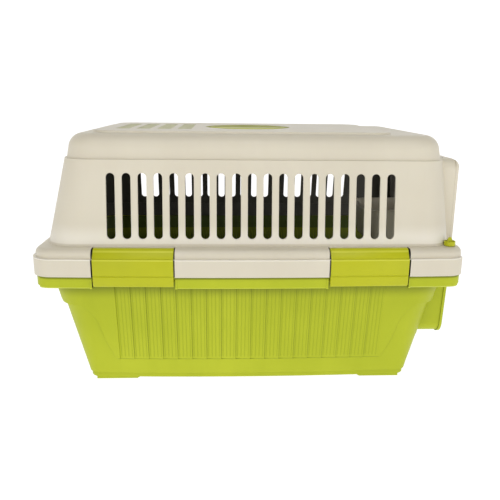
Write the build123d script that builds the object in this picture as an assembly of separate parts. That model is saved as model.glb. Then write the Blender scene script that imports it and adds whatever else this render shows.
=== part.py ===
from build123d import *
import os
from math import asin, atan, degrees, radians, tan

# Sizes in millimetres. X runs along the crate with the door at +X, Y across it, Z up from the floor.

# Plan of the rim where the two mouldings meet
RIM_LENGTH = 608.0
RIM_WIDTH = 422.0
SIDE_BOW = 7.0
RIM_CORNER = 30.0
WALL = 3.0

# Heights
FOOT_HEIGHT = 6.0
PLINTH_HEIGHT = 8.0
SEAT = 191.0
SKIRT_HEIGHT = 24.0
PARTING_DROP = 10.0
RIM_HEIGHT = 15.0
LEDGE_HEIGHT = 13.0
SHELL_WALL_HEIGHT = 118.0
DOME_HEIGHT = 34.0
ROOF_RISE = 3.0

# Lower tub
TUB_END_INSET = 52.5
TUB_SIDE_INSET = 52.0
TUB_BASE_CORNER = 22.0
TUB_DRAFT = 9.4
PLINTH_STEP = 3.5
BAND_HEIGHT = 62.6
BAND_STEP = 5.5
BAND_ROOT = 1.0
FLANGE_INSET = 3.4
SKIRT_CHAMFER = 2.2
PLEAT_COUNT = 18
PLEAT_DEPTH = 1.8
PLEAT_CREST = 0.2
PANEL_PROUD = 1.2
PANEL_SWEEP = ((8.5, 0.0), (22.5, 14.4), (32.5, 36.4), (40.5, 63.4), (53.5, 89.4))
FOOT_LENGTH = 64.0
FOOT_WIDTH = 34.0
FOOT_END_INSET = 47.5
FOOT_SIDE_INSET = 31.0
FOOT_RAMP = 9.0

# Upper shell
LEDGE_END_WIDTH = 15.5
LEDGE_SIDE_WIDTH = 25.0
SHELL_CORNER = 40.0
SHELL_DRAFT = 8.25
SHELL_REAR_DRAFT = 12.0
SHELL_FRONT_DRAFT = 5.4
LEDGE_STEP = 3.5
LEDGE_ROUND = 9.0
LEDGE_INNER_CHAMFER = 3.5
DOME_STEP = 3.0
DOME_DRAFT = 9.0
DOME_ROUND = 22.0
DOME_INNER_CHAMFER = 13.0
ROOF_LENGTH = 434.0
ROOF_WIDTH = 286.0
ROOF_CORNER = 30.0
ROOF_CENTRE_X = -11.0

# Side slots
SLOT_COUNT = 19
SLOT_PITCH = 21.6
SLOT_WIDTH = 12.0
SLOT_FOOT_GAP = 10.0
SLOT_HEAD_GAP = 18.0

# Roof vents behind the handle
VENT_PANELS = 4
VENT_PANEL_PITCH = 31.0
VENT_PANEL_CENTRE_X = -144.5
VENT_SLOTS = 8
VENT_SLOT_LENGTH = 21.0
VENT_SLOT_WIDTH = 11.0
VENT_SLOT_PITCH = 20.0

# Side latches
LATCH_X = 163.0
LATCH_WIDTH = 111.5
LATCH_THICKNESS = 3.0
LATCH_GAP = 1.0
LATCH_CLEARANCE = 0.4
LATCH_REACH = 17.0
LATCH_PIVOT_INSET = 8.0
LATCH_PIVOT_DROP = 17.0
KNUCKLE_RADIUS = 3.6
PEG_RADIUS = 2.0
PEG_LENGTH = 3.0
PEG_CLEARANCE = 0.1
LATCH_BEVEL = 8.5
LATCH_ROUNDING = 1.2
LATCH_FOOT_BEVEL = 2.5
LATCH_GROOVE = 2.6
LATCH_GROOVE_DEPTH = 0.8

# Carrying handle in its roof recess
RECESS_LENGTH = 142.0
RECESS_WIDTH = 112.0
RECESS_DEPTH = 22.0
RECESS_DRAFT_INSET = 5.0
RECESS_TIP = 35.0
HANDLE_LENGTH = 127.0
HANDLE_REACH = 46.0
HANDLE_GRIP = 17.0
HANDLE_END_SHARE = 0.8
HANDLE_THICKNESS = 10.0
HANDLE_AXIS_DROP = 8.0
HANDLE_TAIL = 6.0
HANDLE_EDGE = 2.2
HANDLE_PEG_RADIUS = 3.0
HANDLE_PEG_END = 72.0
POST_WIDTH = 6.0
POST_GAP = 1.0

# Door surround
DOOR_SURROUND_WIDTH = 276.0
DOOR_SURROUND_BOTTOM = 69.0
DOOR_SURROUND_INSET = 2.0
DOOR_SURROUND_CORNER = 16.0
DOOR_SURROUND_RAKE = 2.2
SURROUND_REACH = 102.0
SURROUND_NOSE = 12.0
DOOR_LIP_LENGTH = 4.0
DOOR_LIP_HEIGHT = 1.6

# Wire door
DOOR_GAP_SIDE = 9.0
DOOR_GAP_END = 4.0
DOOR_SETBACK = 10.0
FRAME_WIRE_RADIUS = 2.5
FRAME_WIRE_CORNER = 12.0
UPRIGHT_RADIUS = 1.5
UPRIGHT_COUNT = 9
UPRIGHT_PITCH = 25.0
CROSS_RADIUS = 2.0
CROSS_LEVELS = (139.0, 203.0, 262.0)
HINGE_ROD_RADIUS = 2.5
HINGE_ROD_PROUD = 3.0
ROD_CLEARANCE = 0.1

# Door bolts
BOLT_RADIUS = 2.5
BOLT_Y = -110.0
BOLT_SETBACK = 7.0
BOLT_TRAVEL = 9.0
BOLT_END_GAP = 5.0
BOLT_GRIP_HEIGHT = 10.0
BOLT_GRIP_WIDTH = 12.0
BOLT_GRIP_GAP = 12.0
BOLT_GRIP_PROUD = 11.0
HOUSING_WIDTH = 22.0
HOUSING_END_WALL = 9.0
HOUSING_CORNER = 4.0
GUIDE_WIDTH = 11.0
GUIDE_HEIGHT = 10.0

# Food bowl hung inside the door
BOWL_LENGTH = 104.0
BOWL_WIDTH = 126.0
BOWL_TOP = 248.0
BOWL_DEPTH = 56.0
BOWL_TAPER = 9.0
BOWL_CORNER = 24.0
BOWL_WALL = 2.5
BOWL_RIM = 5.0
HOOK_WIDTH = 10.0
HOOK_THICKNESS = 2.2
HOOK_CLEARANCE = 0.3
HOOK_DROP = 6.0
HOOK_SPACING = 75.0

# Corner locks on the front of the rim
LOCK_END_INSET = 22.0
LOCK_SIDE_INSET = 30.5
LOCK_STEM_RADIUS = 3.5
LOCK_FLANGE_RADIUS = 7.5
LOCK_FLANGE_HEIGHT = 3.0
LOCK_WING_HEIGHT = 12.0
LOCK_WING_WIDTH = 3.4
LOCK_FOOT_RADIUS = 6.3
LOCK_FOOT_HEIGHT = 3.0
LOCK_FOOT_GAP = 0.5

SMALL_GAP = 0.3
OVERCUT = 5.0

# Places that follow from the sizes above
SKIRT_BOTTOM = SEAT - SKIRT_HEIGHT
PARTING = SEAT - PARTING_DROP
RIM_TOP = SEAT + RIM_HEIGHT
LEDGE_TOP = RIM_TOP + LEDGE_HEIGHT
SHOULDER = LEDGE_TOP + SHELL_WALL_HEIGHT
DOME_TOP = SHOULDER + DOME_HEIGHT
BAND_BOTTOM = SEAT - BAND_HEIGHT
PANEL_BOTTOM = BAND_BOTTOM - PANEL_SWEEP[-1][1]
PLEAT_BOTTOM = PANEL_BOTTOM
SLOT_BOTTOM = LEDGE_TOP + SLOT_FOOT_GAP
SLOT_TOP = SHOULDER - SLOT_HEAD_GAP
LATCH_PIVOT_Z = SEAT - LATCH_PIVOT_DROP
HANDLE_AXIS_Z = DOME_TOP - HANDLE_AXIS_DROP
TUB_BASE_LENGTH = RIM_LENGTH - 2 * TUB_END_INSET
TUB_BASE_WIDTH = RIM_WIDTH - 2 * TUB_SIDE_INSET
FOOT_CENTRE_X = TUB_BASE_LENGTH / 2 - FOOT_END_INSET
FOOT_CENTRE_Y = TUB_BASE_WIDTH / 2 - FOOT_SIDE_INSET
SHELL_FOOT_LENGTH = RIM_LENGTH - 2 * LEDGE_END_WIDTH
SHELL_FOOT_WIDTH = RIM_WIDTH - 2 * LEDGE_SIDE_WIDTH
DOOR_SURROUND_FRONT = RIM_LENGTH / 2 - DOOR_SURROUND_INSET
SURROUND_BACK = DOOR_SURROUND_FRONT - SURROUND_REACH
DOOR_X = DOOR_SURROUND_FRONT - DOOR_SETBACK
LOCK_X = RIM_LENGTH / 2 - LOCK_END_INSET
LOCK_Y = RIM_WIDTH / 2 - LOCK_SIDE_INSET


def plan(length, width, corner, height):
    """Rounded plan outline at a height, its two long sides bulging by SIDE_BOW."""
    half_length = length / 2
    half_width = width / 2
    end_half = half_width - SIDE_BOW
    outline = (
        ThreePointArc((-half_length, -end_half), (0, -half_width), (half_length, -end_half))
        + Line((half_length, -end_half), (half_length, end_half))
        + ThreePointArc((half_length, end_half), (0, half_width), (-half_length, end_half))
        + Line((-half_length, end_half), (-half_length, -end_half))
    )
    face = make_face(outline)
    face = fillet(face.vertices(), corner)
    return Pos(0, 0, height) * face


def flat_plan(length, width, corner, height):
    """Rounded plan outline at a height, with straight sides."""
    return Pos(0, 0, height) * RectangleRounded(length, width, corner)


def rim_plan(inset, height):
    """Outline of the rim, moved inwards by an inset."""
    return plan(RIM_LENGTH - 2 * inset, RIM_WIDTH - 2 * inset, RIM_CORNER - inset, height)


def prism(face, height):
    """Straight upright prism on a plan face."""
    return extrude(face, amount=height, dir=(0, 0, 1))


def wall_lean(rise, draft):
    """Horizontal run of a drafted wall over a rise."""
    return rise * tan(radians(draft))


def leaning_form(rear, front, half_width, low, high, drafts, corner):
    """Flat-walled form whose rear, front and long walls lean in by their own drafts, its upright edges rounded."""
    rise = high - low
    rear_lean, front_lean, side_lean = [wall_lean(rise, draft) for draft in drafts]
    along = Polyline((rear, low), (front, low), (front - front_lean, high), (rear + rear_lean, high), close=True)
    across = Polyline(
        (-half_width, low),
        (half_width, low),
        (half_width - side_lean, high),
        (side_lean - half_width, high),
        close=True,
    )
    form = extrude(Plane.XZ * make_face(along), amount=half_width + OVERCUT, both=True)
    form &= extrude(Plane.YZ * make_face(across), amount=RIM_LENGTH, both=True)
    levels = form.edges().group_by(Axis.Z)
    upright = [edge for edge in form.edges() if edge not in levels[0] + levels[-1]]
    return fillet(upright, corner)


def shell_walls(inset, low, high):
    """Drafted walls of the upper shell between two heights, moved inwards by an inset."""
    rear = inset - SHELL_FOOT_LENGTH / 2 + wall_lean(low - LEDGE_TOP, SHELL_REAR_DRAFT)
    front = SHELL_FOOT_LENGTH / 2 - inset - wall_lean(low - LEDGE_TOP, SHELL_FRONT_DRAFT)
    half_width = SHELL_FOOT_WIDTH / 2 - inset - wall_lean(low - LEDGE_TOP, SHELL_DRAFT)
    drafts = SHELL_REAR_DRAFT, SHELL_FRONT_DRAFT, SHELL_DRAFT
    return leaning_form(rear, front, half_width, low, high, drafts, SHELL_CORNER - inset)


def dome_walls(inset, low, high):
    """Walls of the dome that stands on the shoulder, moved inwards by an inset."""
    rise = SHOULDER - LEDGE_TOP
    total = inset + DOME_STEP + wall_lean(low - SHOULDER, DOME_DRAFT)
    rear = total - SHELL_FOOT_LENGTH / 2 + wall_lean(rise, SHELL_REAR_DRAFT)
    front = SHELL_FOOT_LENGTH / 2 - total - wall_lean(rise, SHELL_FRONT_DRAFT)
    half_width = SHELL_FOOT_WIDTH / 2 - total - wall_lean(rise, SHELL_DRAFT)
    corner = SHELL_CORNER - DOME_STEP - inset
    return leaning_form(rear, front, half_width, low, high, (DOME_DRAFT, DOME_DRAFT, DOME_DRAFT), corner)


def foot_plan(inset, height):
    """Outline of the wall's foot, carried straight down inside the rim."""
    return flat_plan(SHELL_FOOT_LENGTH - 2 * inset, SHELL_FOOT_WIDTH - 2 * inset, SHELL_CORNER - inset, height)


def tub_plan(end_inset, side_inset, height):
    """Outline of the tub's drafted wall at a height."""
    spread = wall_lean(height - FOOT_HEIGHT - PLINTH_HEIGHT, TUB_DRAFT)
    length = TUB_BASE_LENGTH + 2 * (spread - end_inset)
    width = TUB_BASE_WIDTH + 2 * (spread - side_inset)
    return plan(length, width, TUB_BASE_CORNER + spread - side_inset, height)


def box_between(low, high):
    """Box from its lowest to its highest corner."""
    size = [b - a for a, b in zip(low, high)]
    centre = [(a + b) / 2 for a, b in zip(low, high)]
    return Pos(*centre) * Box(*size)


def upright_rod(x, y, radius, bottom, top):
    """Vertical round rod between two heights."""
    return Pos(x, y, (bottom + top) / 2) * Cylinder(radius, top - bottom)


def shell_corridor():
    """Space taken by the door surround, from inside the cabin to past the front."""
    half = DOOR_SURROUND_WIDTH / 2
    return box_between((SURROUND_BACK, -half, 0), (RIM_LENGTH, half, DOME_TOP))


def latch_frame(side, x):
    """Plane across the rim at a latch: local x points outwards, local y up."""
    half_length = RIM_LENGTH / 2
    radius = (half_length ** 2 + SIDE_BOW ** 2) / (2 * SIDE_BOW)
    sag = radius - (radius ** 2 - x ** 2) ** 0.5
    turn = asin(x / radius)
    outward = Vector(0, side, 0).rotate(Axis.Z, -side * degrees(turn))
    origin = (x, side * (RIM_WIDTH / 2 - sag), 0)
    return Plane(origin=origin, x_dir=outward, z_dir=outward.cross(Vector(0, 0, 1)))


def latch_sites():
    """Name, side and X of the four latches."""
    return [
        ("latch_near_rear", -1, -LATCH_X),
        ("latch_near_front", -1, LATCH_X),
        ("latch_far_rear", 1, -LATCH_X),
        ("latch_far_front", 1, LATCH_X),
    ]


def across_rim(frame, points, width):
    """Prism along the rim from a section given as outward distances and heights."""
    face = make_face(Polyline(*points, close=True))
    return extrude(frame * face, amount=width / 2, both=True)


def latch_pocket(frame, depth, width):
    """Everything outside the rim's recessed face behind a latch."""
    floor = LEDGE_TOP - LATCH_THICKNESS - LATCH_CLEARANCE - depth
    face = -(LATCH_THICKNESS + LATCH_CLEARANCE + depth)
    reach = -(LATCH_REACH + LATCH_CLEARANCE + depth)
    bevel = LATCH_BEVEL
    points = [
        (OVERCUT, SKIRT_BOTTOM - OVERCUT),
        (OVERCUT, LEDGE_TOP + OVERCUT),
        (reach, LEDGE_TOP + OVERCUT),
        (reach, floor),
        (face - bevel, floor),
        (face, floor - bevel),
        (face, SKIRT_BOTTOM - OVERCUT),
    ]
    return across_rim(frame, points, width)


def slot_cutter():
    """Row of round-ended upright slots through both long walls."""
    middle = (SLOT_BOTTOM + SLOT_TOP) / 2
    height = SLOT_TOP - SLOT_BOTTOM
    slot = Rot(0, 0, 90) * SlotOverall(height, SLOT_WIDTH)
    first = -(SLOT_COUNT - 1) / 2 * SLOT_PITCH
    row = Sketch() + [Pos(first + i * SLOT_PITCH, middle) * slot for i in range(SLOT_COUNT)]
    return extrude(Plane.XZ * row, amount=RIM_WIDTH / 2, both=True)


def vent_cutter():
    """Panels of short cross slots through the roof behind the handle."""
    slots = []
    for panel in range(VENT_PANELS):
        x = VENT_PANEL_CENTRE_X + (panel - (VENT_PANELS - 1) / 2) * VENT_PANEL_PITCH
        for row in range(VENT_SLOTS):
            y = (row - (VENT_SLOTS - 1) / 2) * VENT_SLOT_PITCH
            slots.append(Pos(x, y) * Rectangle(VENT_SLOT_LENGTH, VENT_SLOT_WIDTH))
    return Pos(0, 0, DOME_TOP - WALL - OVERCUT) * extrude(Sketch() + slots, amount=WALL + ROOF_RISE + 2 * OVERCUT)


def oval(half_length, half_width, tip):
    """Oval of two wide arcs with rounded tips."""
    near = ThreePointArc((-half_length, 0), (0, -half_width), (half_length, 0))
    far = ThreePointArc((half_length, 0), (0, half_width), (-half_length, 0))
    face = make_face(near + far)
    return fillet(face.vertices(), tip)


def recess_form(wall, top):
    """Oval roof recess for the handle, grown by a wall, its sides leaning outwards to the top."""
    floor = DOME_TOP + ROOF_RISE - RECESS_DEPTH - wall
    lean = degrees(atan(RECESS_DRAFT_INSET / RECESS_DEPTH))
    half_length = RECESS_LENGTH / 2 - RECESS_DRAFT_INSET + wall
    half_width = RECESS_WIDTH / 2 - RECESS_DRAFT_INSET + wall
    base = Pos(0, 0, floor) * oval(half_length, half_width, RECESS_TIP + wall)
    return extrude(base, amount=top - floor, taper=-lean)


def surround_outlines():
    """Outlines of the surround's body and of the lip round its front edge."""
    width = DOOR_SURROUND_WIDTH
    height = SHOULDER - DOOR_SURROUND_BOTTOM
    body = RectangleRounded(width, height, DOOR_SURROUND_CORNER)
    step = 2 * DOOR_LIP_HEIGHT
    lip = RectangleRounded(width + step, height + step, DOOR_SURROUND_CORNER + DOOR_LIP_HEIGHT)
    centre = Pos(0, (DOOR_SURROUND_BOTTOM + SHOULDER) / 2 - PARTING)
    return centre * body, centre * lip


def surround_solid(rake):
    """Surround block and front lip, its front face leaning by a rake about the parting line."""
    body, lip = surround_outlines()
    front = Plane(
        origin=(DOOR_SURROUND_FRONT, 0, PARTING),
        x_dir=(0, 1, 0),
        z_dir=(1, 0, -tan(radians(rake))),
    )
    depth = DOOR_SURROUND_FRONT - SURROUND_BACK
    block = extrude(front * body, amount=depth, dir=(-1, 0, 0))
    return block + extrude(front * lip, amount=DOOR_LIP_LENGTH, dir=(-1, 0, 0))


def upper_surround():
    """Part of the surround above the parting line, its top front edge rounded."""
    keep = box_between((0, -RIM_WIDTH, PARTING), (RIM_LENGTH, RIM_WIDTH, SHOULDER + OVERCUT))
    nose = Pos(DOOR_SURROUND_FRONT - SURROUND_NOSE, 0, SHOULDER + DOOR_LIP_HEIGHT - SURROUND_NOSE)
    nose = nose * Rot(90, 0, 0) * Cylinder(SURROUND_NOSE, RIM_WIDTH)
    corner = box_between(
        (DOOR_SURROUND_FRONT - SURROUND_NOSE, -RIM_WIDTH / 2, SHOULDER + DOOR_LIP_HEIGHT - SURROUND_NOSE),
        (DOOR_SURROUND_FRONT + OVERCUT, RIM_WIDTH / 2, SHOULDER + OVERCUT),
    )
    return (surround_solid(0) & keep) - (corner - nose)


def lower_surround():
    """Part of the surround below the parting line, its front leaning back towards the floor."""
    keep = box_between((0, -RIM_WIDTH, 0), (RIM_LENGTH, RIM_WIDTH, PARTING))
    return surround_solid(DOOR_SURROUND_RAKE) & keep


def door_opening():
    """Passage through the surround."""
    half = DOOR_SURROUND_WIDTH / 2 - WALL
    middle = (DOOR_SURROUND_BOTTOM + SHOULDER) / 2
    height = SHOULDER - DOOR_SURROUND_BOTTOM - 2 * WALL
    section = Plane(origin=(SURROUND_BACK, 0, middle), x_dir=(0, 1, 0), z_dir=(1, 0, 0))
    passage = RectangleRounded(2 * half, height, DOOR_SURROUND_CORNER - WALL)
    return extrude(section * passage, amount=RIM_LENGTH - SURROUND_BACK)


def door_rod_y():
    """Y of the hinge rod, lying against the far side of the door's frame wire."""
    return frame_wire_half_width() + HINGE_ROD_RADIUS + FRAME_WIRE_RADIUS


def frame_wire_half_width():
    """Half width of the door's frame wire, at its centre line."""
    return DOOR_SURROUND_WIDTH / 2 - WALL - DOOR_GAP_SIDE - FRAME_WIRE_RADIUS


def frame_wire_levels():
    """Bottom and top of the door's frame wire, at its centre line."""
    bottom = DOOR_SURROUND_BOTTOM + WALL + DOOR_GAP_END + FRAME_WIRE_RADIUS
    top = SHOULDER - WALL - DOOR_GAP_END - FRAME_WIRE_RADIUS
    return bottom, top


def rod_holes():
    """Holes in the surround for the hinge rod and the two bolts."""
    bottom = DOOR_SURROUND_BOTTOM - OVERCUT
    top = SHOULDER + OVERCUT
    hinge = upright_rod(DOOR_X, door_rod_y(), HINGE_ROD_RADIUS + ROD_CLEARANCE, bottom, top)
    bolt = upright_rod(DOOR_X - BOLT_SETBACK, BOLT_Y, BOLT_RADIUS + ROD_CLEARANCE, bottom, top)
    return hinge + bolt


def lock_sites():
    """Name and side of the two corner locks."""
    return [("corner_lock_near", -1), ("corner_lock_far", 1)]


def lock_holes():
    """Holes for the corner locks' stems."""
    radius = LOCK_STEM_RADIUS + PEG_CLEARANCE
    holes = [upright_rod(LOCK_X, side * LOCK_Y, radius, SKIRT_BOTTOM, LEDGE_TOP + OVERCUT) for _, side in lock_sites()]
    return holes[0] + holes[1]


def shell_outer():
    """Outer form of the upper shell, before it is hollowed."""
    rim = prism(rim_plan(0, PARTING), RIM_TOP - PARTING)
    ledge = prism(rim_plan(LEDGE_STEP, PARTING), LEDGE_TOP - PARTING)
    ledge = fillet(ledge.edges().group_by(Axis.Z)[-1], LEDGE_ROUND)
    wall = shell_walls(0, LEDGE_TOP - WALL, SHOULDER)
    dome = dome_walls(0, SHOULDER - WALL, DOME_TOP)
    dome = fillet(dome.edges().group_by(Axis.Z)[-1], DOME_ROUND)
    roof_face = Pos(ROOF_CENTRE_X, 0, DOME_TOP - WALL) * RectangleRounded(ROOF_LENGTH, ROOF_WIDTH, ROOF_CORNER)
    roof = extrude(roof_face, amount=WALL + ROOF_RISE, taper=25)
    return rim + ledge + wall + dome + roof


def shell_hollow():
    """Cabin space inside the upper shell."""
    low = prism(foot_plan(WALL, PARTING - OVERCUT), LEDGE_TOP - WALL - PARTING + OVERCUT)
    wall = shell_walls(WALL, LEDGE_TOP - WALL, SHOULDER - WALL)
    dome = dome_walls(WALL, SHOULDER - 2 * WALL, DOME_TOP - WALL)
    dome = chamfer(dome.edges().group_by(Axis.Z)[-1], DOME_INNER_CHAMFER)
    return low + wall + dome - recess_form(WALL, DOME_TOP + OVERCUT)


def rim_channel():
    """Space between the shell's face and the foot of its wall, open below."""
    low = PARTING - OVERCUT
    face = prism(rim_plan(WALL, low), RIM_TOP - WALL - low)
    ledge = prism(rim_plan(LEDGE_STEP + WALL, low), LEDGE_TOP - WALL - low)
    ledge = chamfer(ledge.edges().group_by(Axis.Z)[-1], LEDGE_INNER_CHAMFER)
    channel = face + ledge - prism(foot_plan(0, low), LEDGE_TOP - low) - shell_corridor()
    above_seat = box_between((-RIM_LENGTH, -RIM_WIDTH, SEAT), (RIM_LENGTH, RIM_WIDTH, LEDGE_TOP))
    for _, side, x in latch_sites():
        frame = latch_frame(side, x)
        width = LATCH_WIDTH + 2 * LATCH_GAP
        channel -= latch_pocket(frame, WALL, width + 2 * WALL) & above_seat
        channel -= latch_pocket(frame, WALL, width - 2 * SMALL_GAP)
    return channel


def lower_tub_seat():
    """Space under the shell's wall foot that the tub's seat takes."""
    return prism(foot_plan(-OVERCUT / 10, PARTING - OVERCUT), SEAT - PARTING + OVERCUT) - shell_corridor()


def make_upper_shell():
    """Upper shell: rim, slotted walls, dome, roof vents, handle recess and door surround."""
    shell = shell_outer() + upper_surround()
    for _, side, x in latch_sites():
        shell -= latch_pocket(latch_frame(side, x), 0, LATCH_WIDTH + 2 * LATCH_GAP)
    shell = shell - shell_hollow() - rim_channel() - lower_tub_seat() - door_opening()
    shell = shell - slot_cutter() - vent_cutter()
    shell -= recess_form(0, DOME_TOP + ROOF_RISE + OVERCUT)
    shell += handle_post()
    return shell - handle_sockets() - rod_holes() - lock_holes()


def handle_post():
    """Stop post on the recess's near wall, in front of the folded grip."""
    floor = DOME_TOP + ROOF_RISE - RECESS_DEPTH
    post = box_between(
        (-POST_WIDTH / 2, -RECESS_WIDTH / 2, floor - WALL),
        (POST_WIDTH / 2, -HANDLE_REACH - POST_GAP, DOME_TOP),
    )
    return post & recess_form(WALL, DOME_TOP + ROOF_RISE)


def handle_sockets():
    """Holes in the recess's ends for the handle's pegs."""
    bore = Cylinder(HANDLE_PEG_RADIUS + PEG_CLEARANCE, 2 * HANDLE_PEG_END + 2 * OVERCUT)
    return Pos(0, 0, HANDLE_AXIS_Z) * Rot(0, 90, 0) * bore


def make_carry_handle():
    """Crescent handle lying in the near half of the recess, with a peg at each end."""
    half = HANDLE_LENGTH / 2
    inner = half - HANDLE_GRIP * HANDLE_END_SHARE
    outline = ThreePointArc((-half, 0), (0, -HANDLE_REACH), (half, 0))
    outline += Line((half, 0), (half, HANDLE_TAIL))
    outline += Line((half, HANDLE_TAIL), (inner, HANDLE_TAIL))
    outline += Line((inner, HANDLE_TAIL), (inner, 0))
    outline += ThreePointArc((inner, 0), (0, HANDLE_GRIP - HANDLE_REACH), (-inner, 0))
    outline += Line((-inner, 0), (-inner, HANDLE_TAIL))
    outline += Line((-inner, HANDLE_TAIL), (-half, HANDLE_TAIL))
    outline += Line((-half, HANDLE_TAIL), (-half, 0))
    bail = Pos(0, 0, HANDLE_AXIS_Z - HANDLE_THICKNESS / 2) * extrude(make_face(outline), amount=HANDLE_THICKNESS)
    levels = bail.edges().group_by(Axis.Z)
    bail = chamfer(levels[0] + levels[-1], HANDLE_EDGE)
    start = (half + inner) / 2
    for side in (-1, 1):
        peg = Cylinder(HANDLE_PEG_RADIUS, HANDLE_PEG_END - start)
        bail += Pos(side * (start + HANDLE_PEG_END) / 2, 0, HANDLE_AXIS_Z) * Rot(0, 90, 0) * peg
    return bail


def pleat_cutter(side):
    """Sawtooth prism that leaves a long wall in sharp upright pleats."""
    lean = wall_lean(SEAT - PLEAT_BOTTOM, TUB_DRAFT)
    spread = wall_lean(SEAT - FOOT_HEIGHT - PLINTH_HEIGHT, TUB_DRAFT)
    half_width = TUB_BASE_WIDTH / 2 + spread + PANEL_PROUD
    half_length = TUB_BASE_LENGTH / 2 + spread / 2
    radius = (half_length ** 2 + SIDE_BOW ** 2) / (2 * SIDE_BOW)
    first = -PLEAT_COUNT / 2 * SLOT_PITCH
    points = []
    for i in range(PLEAT_COUNT):
        left = first + i * SLOT_PITCH
        right = left + SLOT_PITCH
        left_y = half_width - radius + (radius ** 2 - left ** 2) ** 0.5
        right_y = half_width - radius + (radius ** 2 - right ** 2) ** 0.5
        points += [(left, side * (left_y - PLEAT_DEPTH)), (right, side * (right_y - PLEAT_CREST))]
    outside = side * (half_width + OVERCUT)
    points += [(-first, outside), (first, outside)]
    face = make_face(Polyline(*points, close=True)).face()
    return Solid.extrude(Pos(0, 0, SEAT) * face, Vector(0, -side * lean, PLEAT_BOTTOM - SEAT))


def raised_panel():
    """Raised skin: a deep band on both ends, running on into the pleated panels of the long walls."""
    spread = wall_lean(BAND_BOTTOM - FOOT_HEIGHT - PLINTH_HEIGHT, TUB_DRAFT)
    wall = TUB_BASE_LENGTH / 2 + spread - BAND_ROOT
    reach = RIM_LENGTH / 2
    right = Line((reach, BAND_BOTTOM + reach - wall), (wall, BAND_BOTTOM))
    sweep = [(TUB_BASE_LENGTH / 2 - inset, BAND_BOTTOM - drop) for inset, drop in PANEL_SWEEP]
    right += Line((wall, BAND_BOTTOM), sweep[0])
    right += ThreePointArc(*sweep[:3]) + ThreePointArc(*sweep[2:])
    left = mirror(right, about=Plane.YZ)
    foot_half = sweep[-1][0]
    top_left = (-reach, SEAT)
    top_right = (reach, SEAT)
    bottom = Line((-foot_half, PANEL_BOTTOM), (foot_half, PANEL_BOTTOM))
    top = Line((-reach, BAND_BOTTOM + reach - wall), top_left) + Line(top_left, top_right)
    top += Line(top_right, (reach, BAND_BOTTOM + reach - wall))
    region = extrude(Plane.XZ * make_face(right + bottom + left + top), amount=RIM_WIDTH / 2, both=True)
    skin = extrude(tub_plan(-BAND_STEP, -PANEL_PROUD, PANEL_BOTTOM), amount=SEAT - PANEL_BOTTOM, taper=-TUB_DRAFT)
    return region & skin


def tub_outer():
    """Outer form of the tub: plinth, drafted walls and raised skin."""
    low = FOOT_HEIGHT + PLINTH_HEIGHT
    walls = extrude(tub_plan(0, 0, low), amount=SEAT - low, taper=-TUB_DRAFT)
    plinth = prism(tub_plan(PLINTH_STEP, PLINTH_STEP, low), -PLINTH_HEIGHT)
    return walls + plinth + raised_panel()


def tub_hollow():
    """Spaces inside the tub: a pit down to the floor, and a wider one behind the band."""
    low = FOOT_HEIGHT + WALL
    side = WALL + PLEAT_DEPTH - PANEL_PROUD
    pit = extrude(tub_plan(WALL, side, low), amount=SEAT + OVERCUT - low, taper=-TUB_DRAFT)
    band_low = BAND_BOTTOM + WALL + BAND_STEP
    band_face = tub_plan(WALL - BAND_STEP, side + BAND_ROOT, band_low)
    band = extrude(band_face, amount=SEAT + OVERCUT - band_low, taper=-TUB_DRAFT)
    return pit, band


def foot_pads():
    """Four pads under the plinth, each ramped on its inner end."""
    pads = []
    top = FOOT_HEIGHT
    half = FOOT_LENGTH / 2
    for x_side in (-1, 1):
        for y_side in (-1, 1):
            points = [(-half, 0), (half, 0), (half, top), (-half - FOOT_RAMP, top)]
            profile = make_face(Polyline(*[(x_side * x, z) for x, z in points], close=True))
            place = Pos(x_side * FOOT_CENTRE_X, y_side * FOOT_CENTRE_Y, 0)
            pads.append(place * extrude(Plane.XZ * profile, amount=FOOT_WIDTH / 2, both=True))
    return pads


def latch_cheeks():
    """Walls under the tub's flange that hold the latches' pegs."""
    cheeks = []
    for _, side, x in latch_sites():
        frame = latch_frame(side, x)
        depth = RIM_WIDTH / 2 - TUB_BASE_WIDTH / 2
        points = [(-depth, SKIRT_BOTTOM), (-FLANGE_INSET, SKIRT_BOTTOM), (-FLANGE_INSET, SEAT), (-depth, SEAT)]
        outer = across_rim(frame, points, LATCH_WIDTH + 2 * (LATCH_GAP + PEG_LENGTH + PEG_CLEARANCE))
        inner = across_rim(frame, points, LATCH_WIDTH + 2 * LATCH_GAP)
        cheeks.append(outer - inner)
    return cheeks


def make_lower_tub():
    """Lower tub: pleated walls, feet, flange with skirt, latch bearings and door surround."""
    skirt_height = SEAT - SKIRT_BOTTOM
    flange = prism(rim_plan(FLANGE_INSET, SKIRT_BOTTOM), skirt_height)
    flange = chamfer(flange.edges().group_by(Axis.Z)[0], SKIRT_CHAMFER)
    flange -= prism(rim_plan(FLANGE_INSET + WALL, SKIRT_BOTTOM - OVERCUT), skirt_height - WALL + OVERCUT)
    tub = tub_outer()
    for side in (-1, 1):
        tub = tub - pleat_cutter(side)
    tub = tub + flange
    for _, side, x in latch_sites():
        frame = latch_frame(side, x)
        edge = -(2 * LATCH_THICKNESS + 2 * LATCH_CLEARANCE)
        points = [
            (edge, SEAT + OVERCUT),
            (OVERCUT, SEAT + OVERCUT),
            (OVERCUT, SKIRT_BOTTOM - OVERCUT),
            (edge, SKIRT_BOTTOM - OVERCUT),
        ]
        tub -= across_rim(frame, points, LATCH_WIDTH + 2 * LATCH_GAP)
    tub = tub + latch_cheeks() + foot_pads() + lower_surround()
    half = DOOR_SURROUND_WIDTH / 2 + DOOR_LIP_HEIGHT + SMALL_GAP
    above_parting = box_between((SURROUND_BACK, -half, PARTING), (RIM_LENGTH, half, SEAT + OVERCUT))
    for space in tub_hollow():
        tub = tub - space
    tub = tub - door_opening() - above_parting
    return tub - latch_bores() - rod_holes() - lock_holes()


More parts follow.
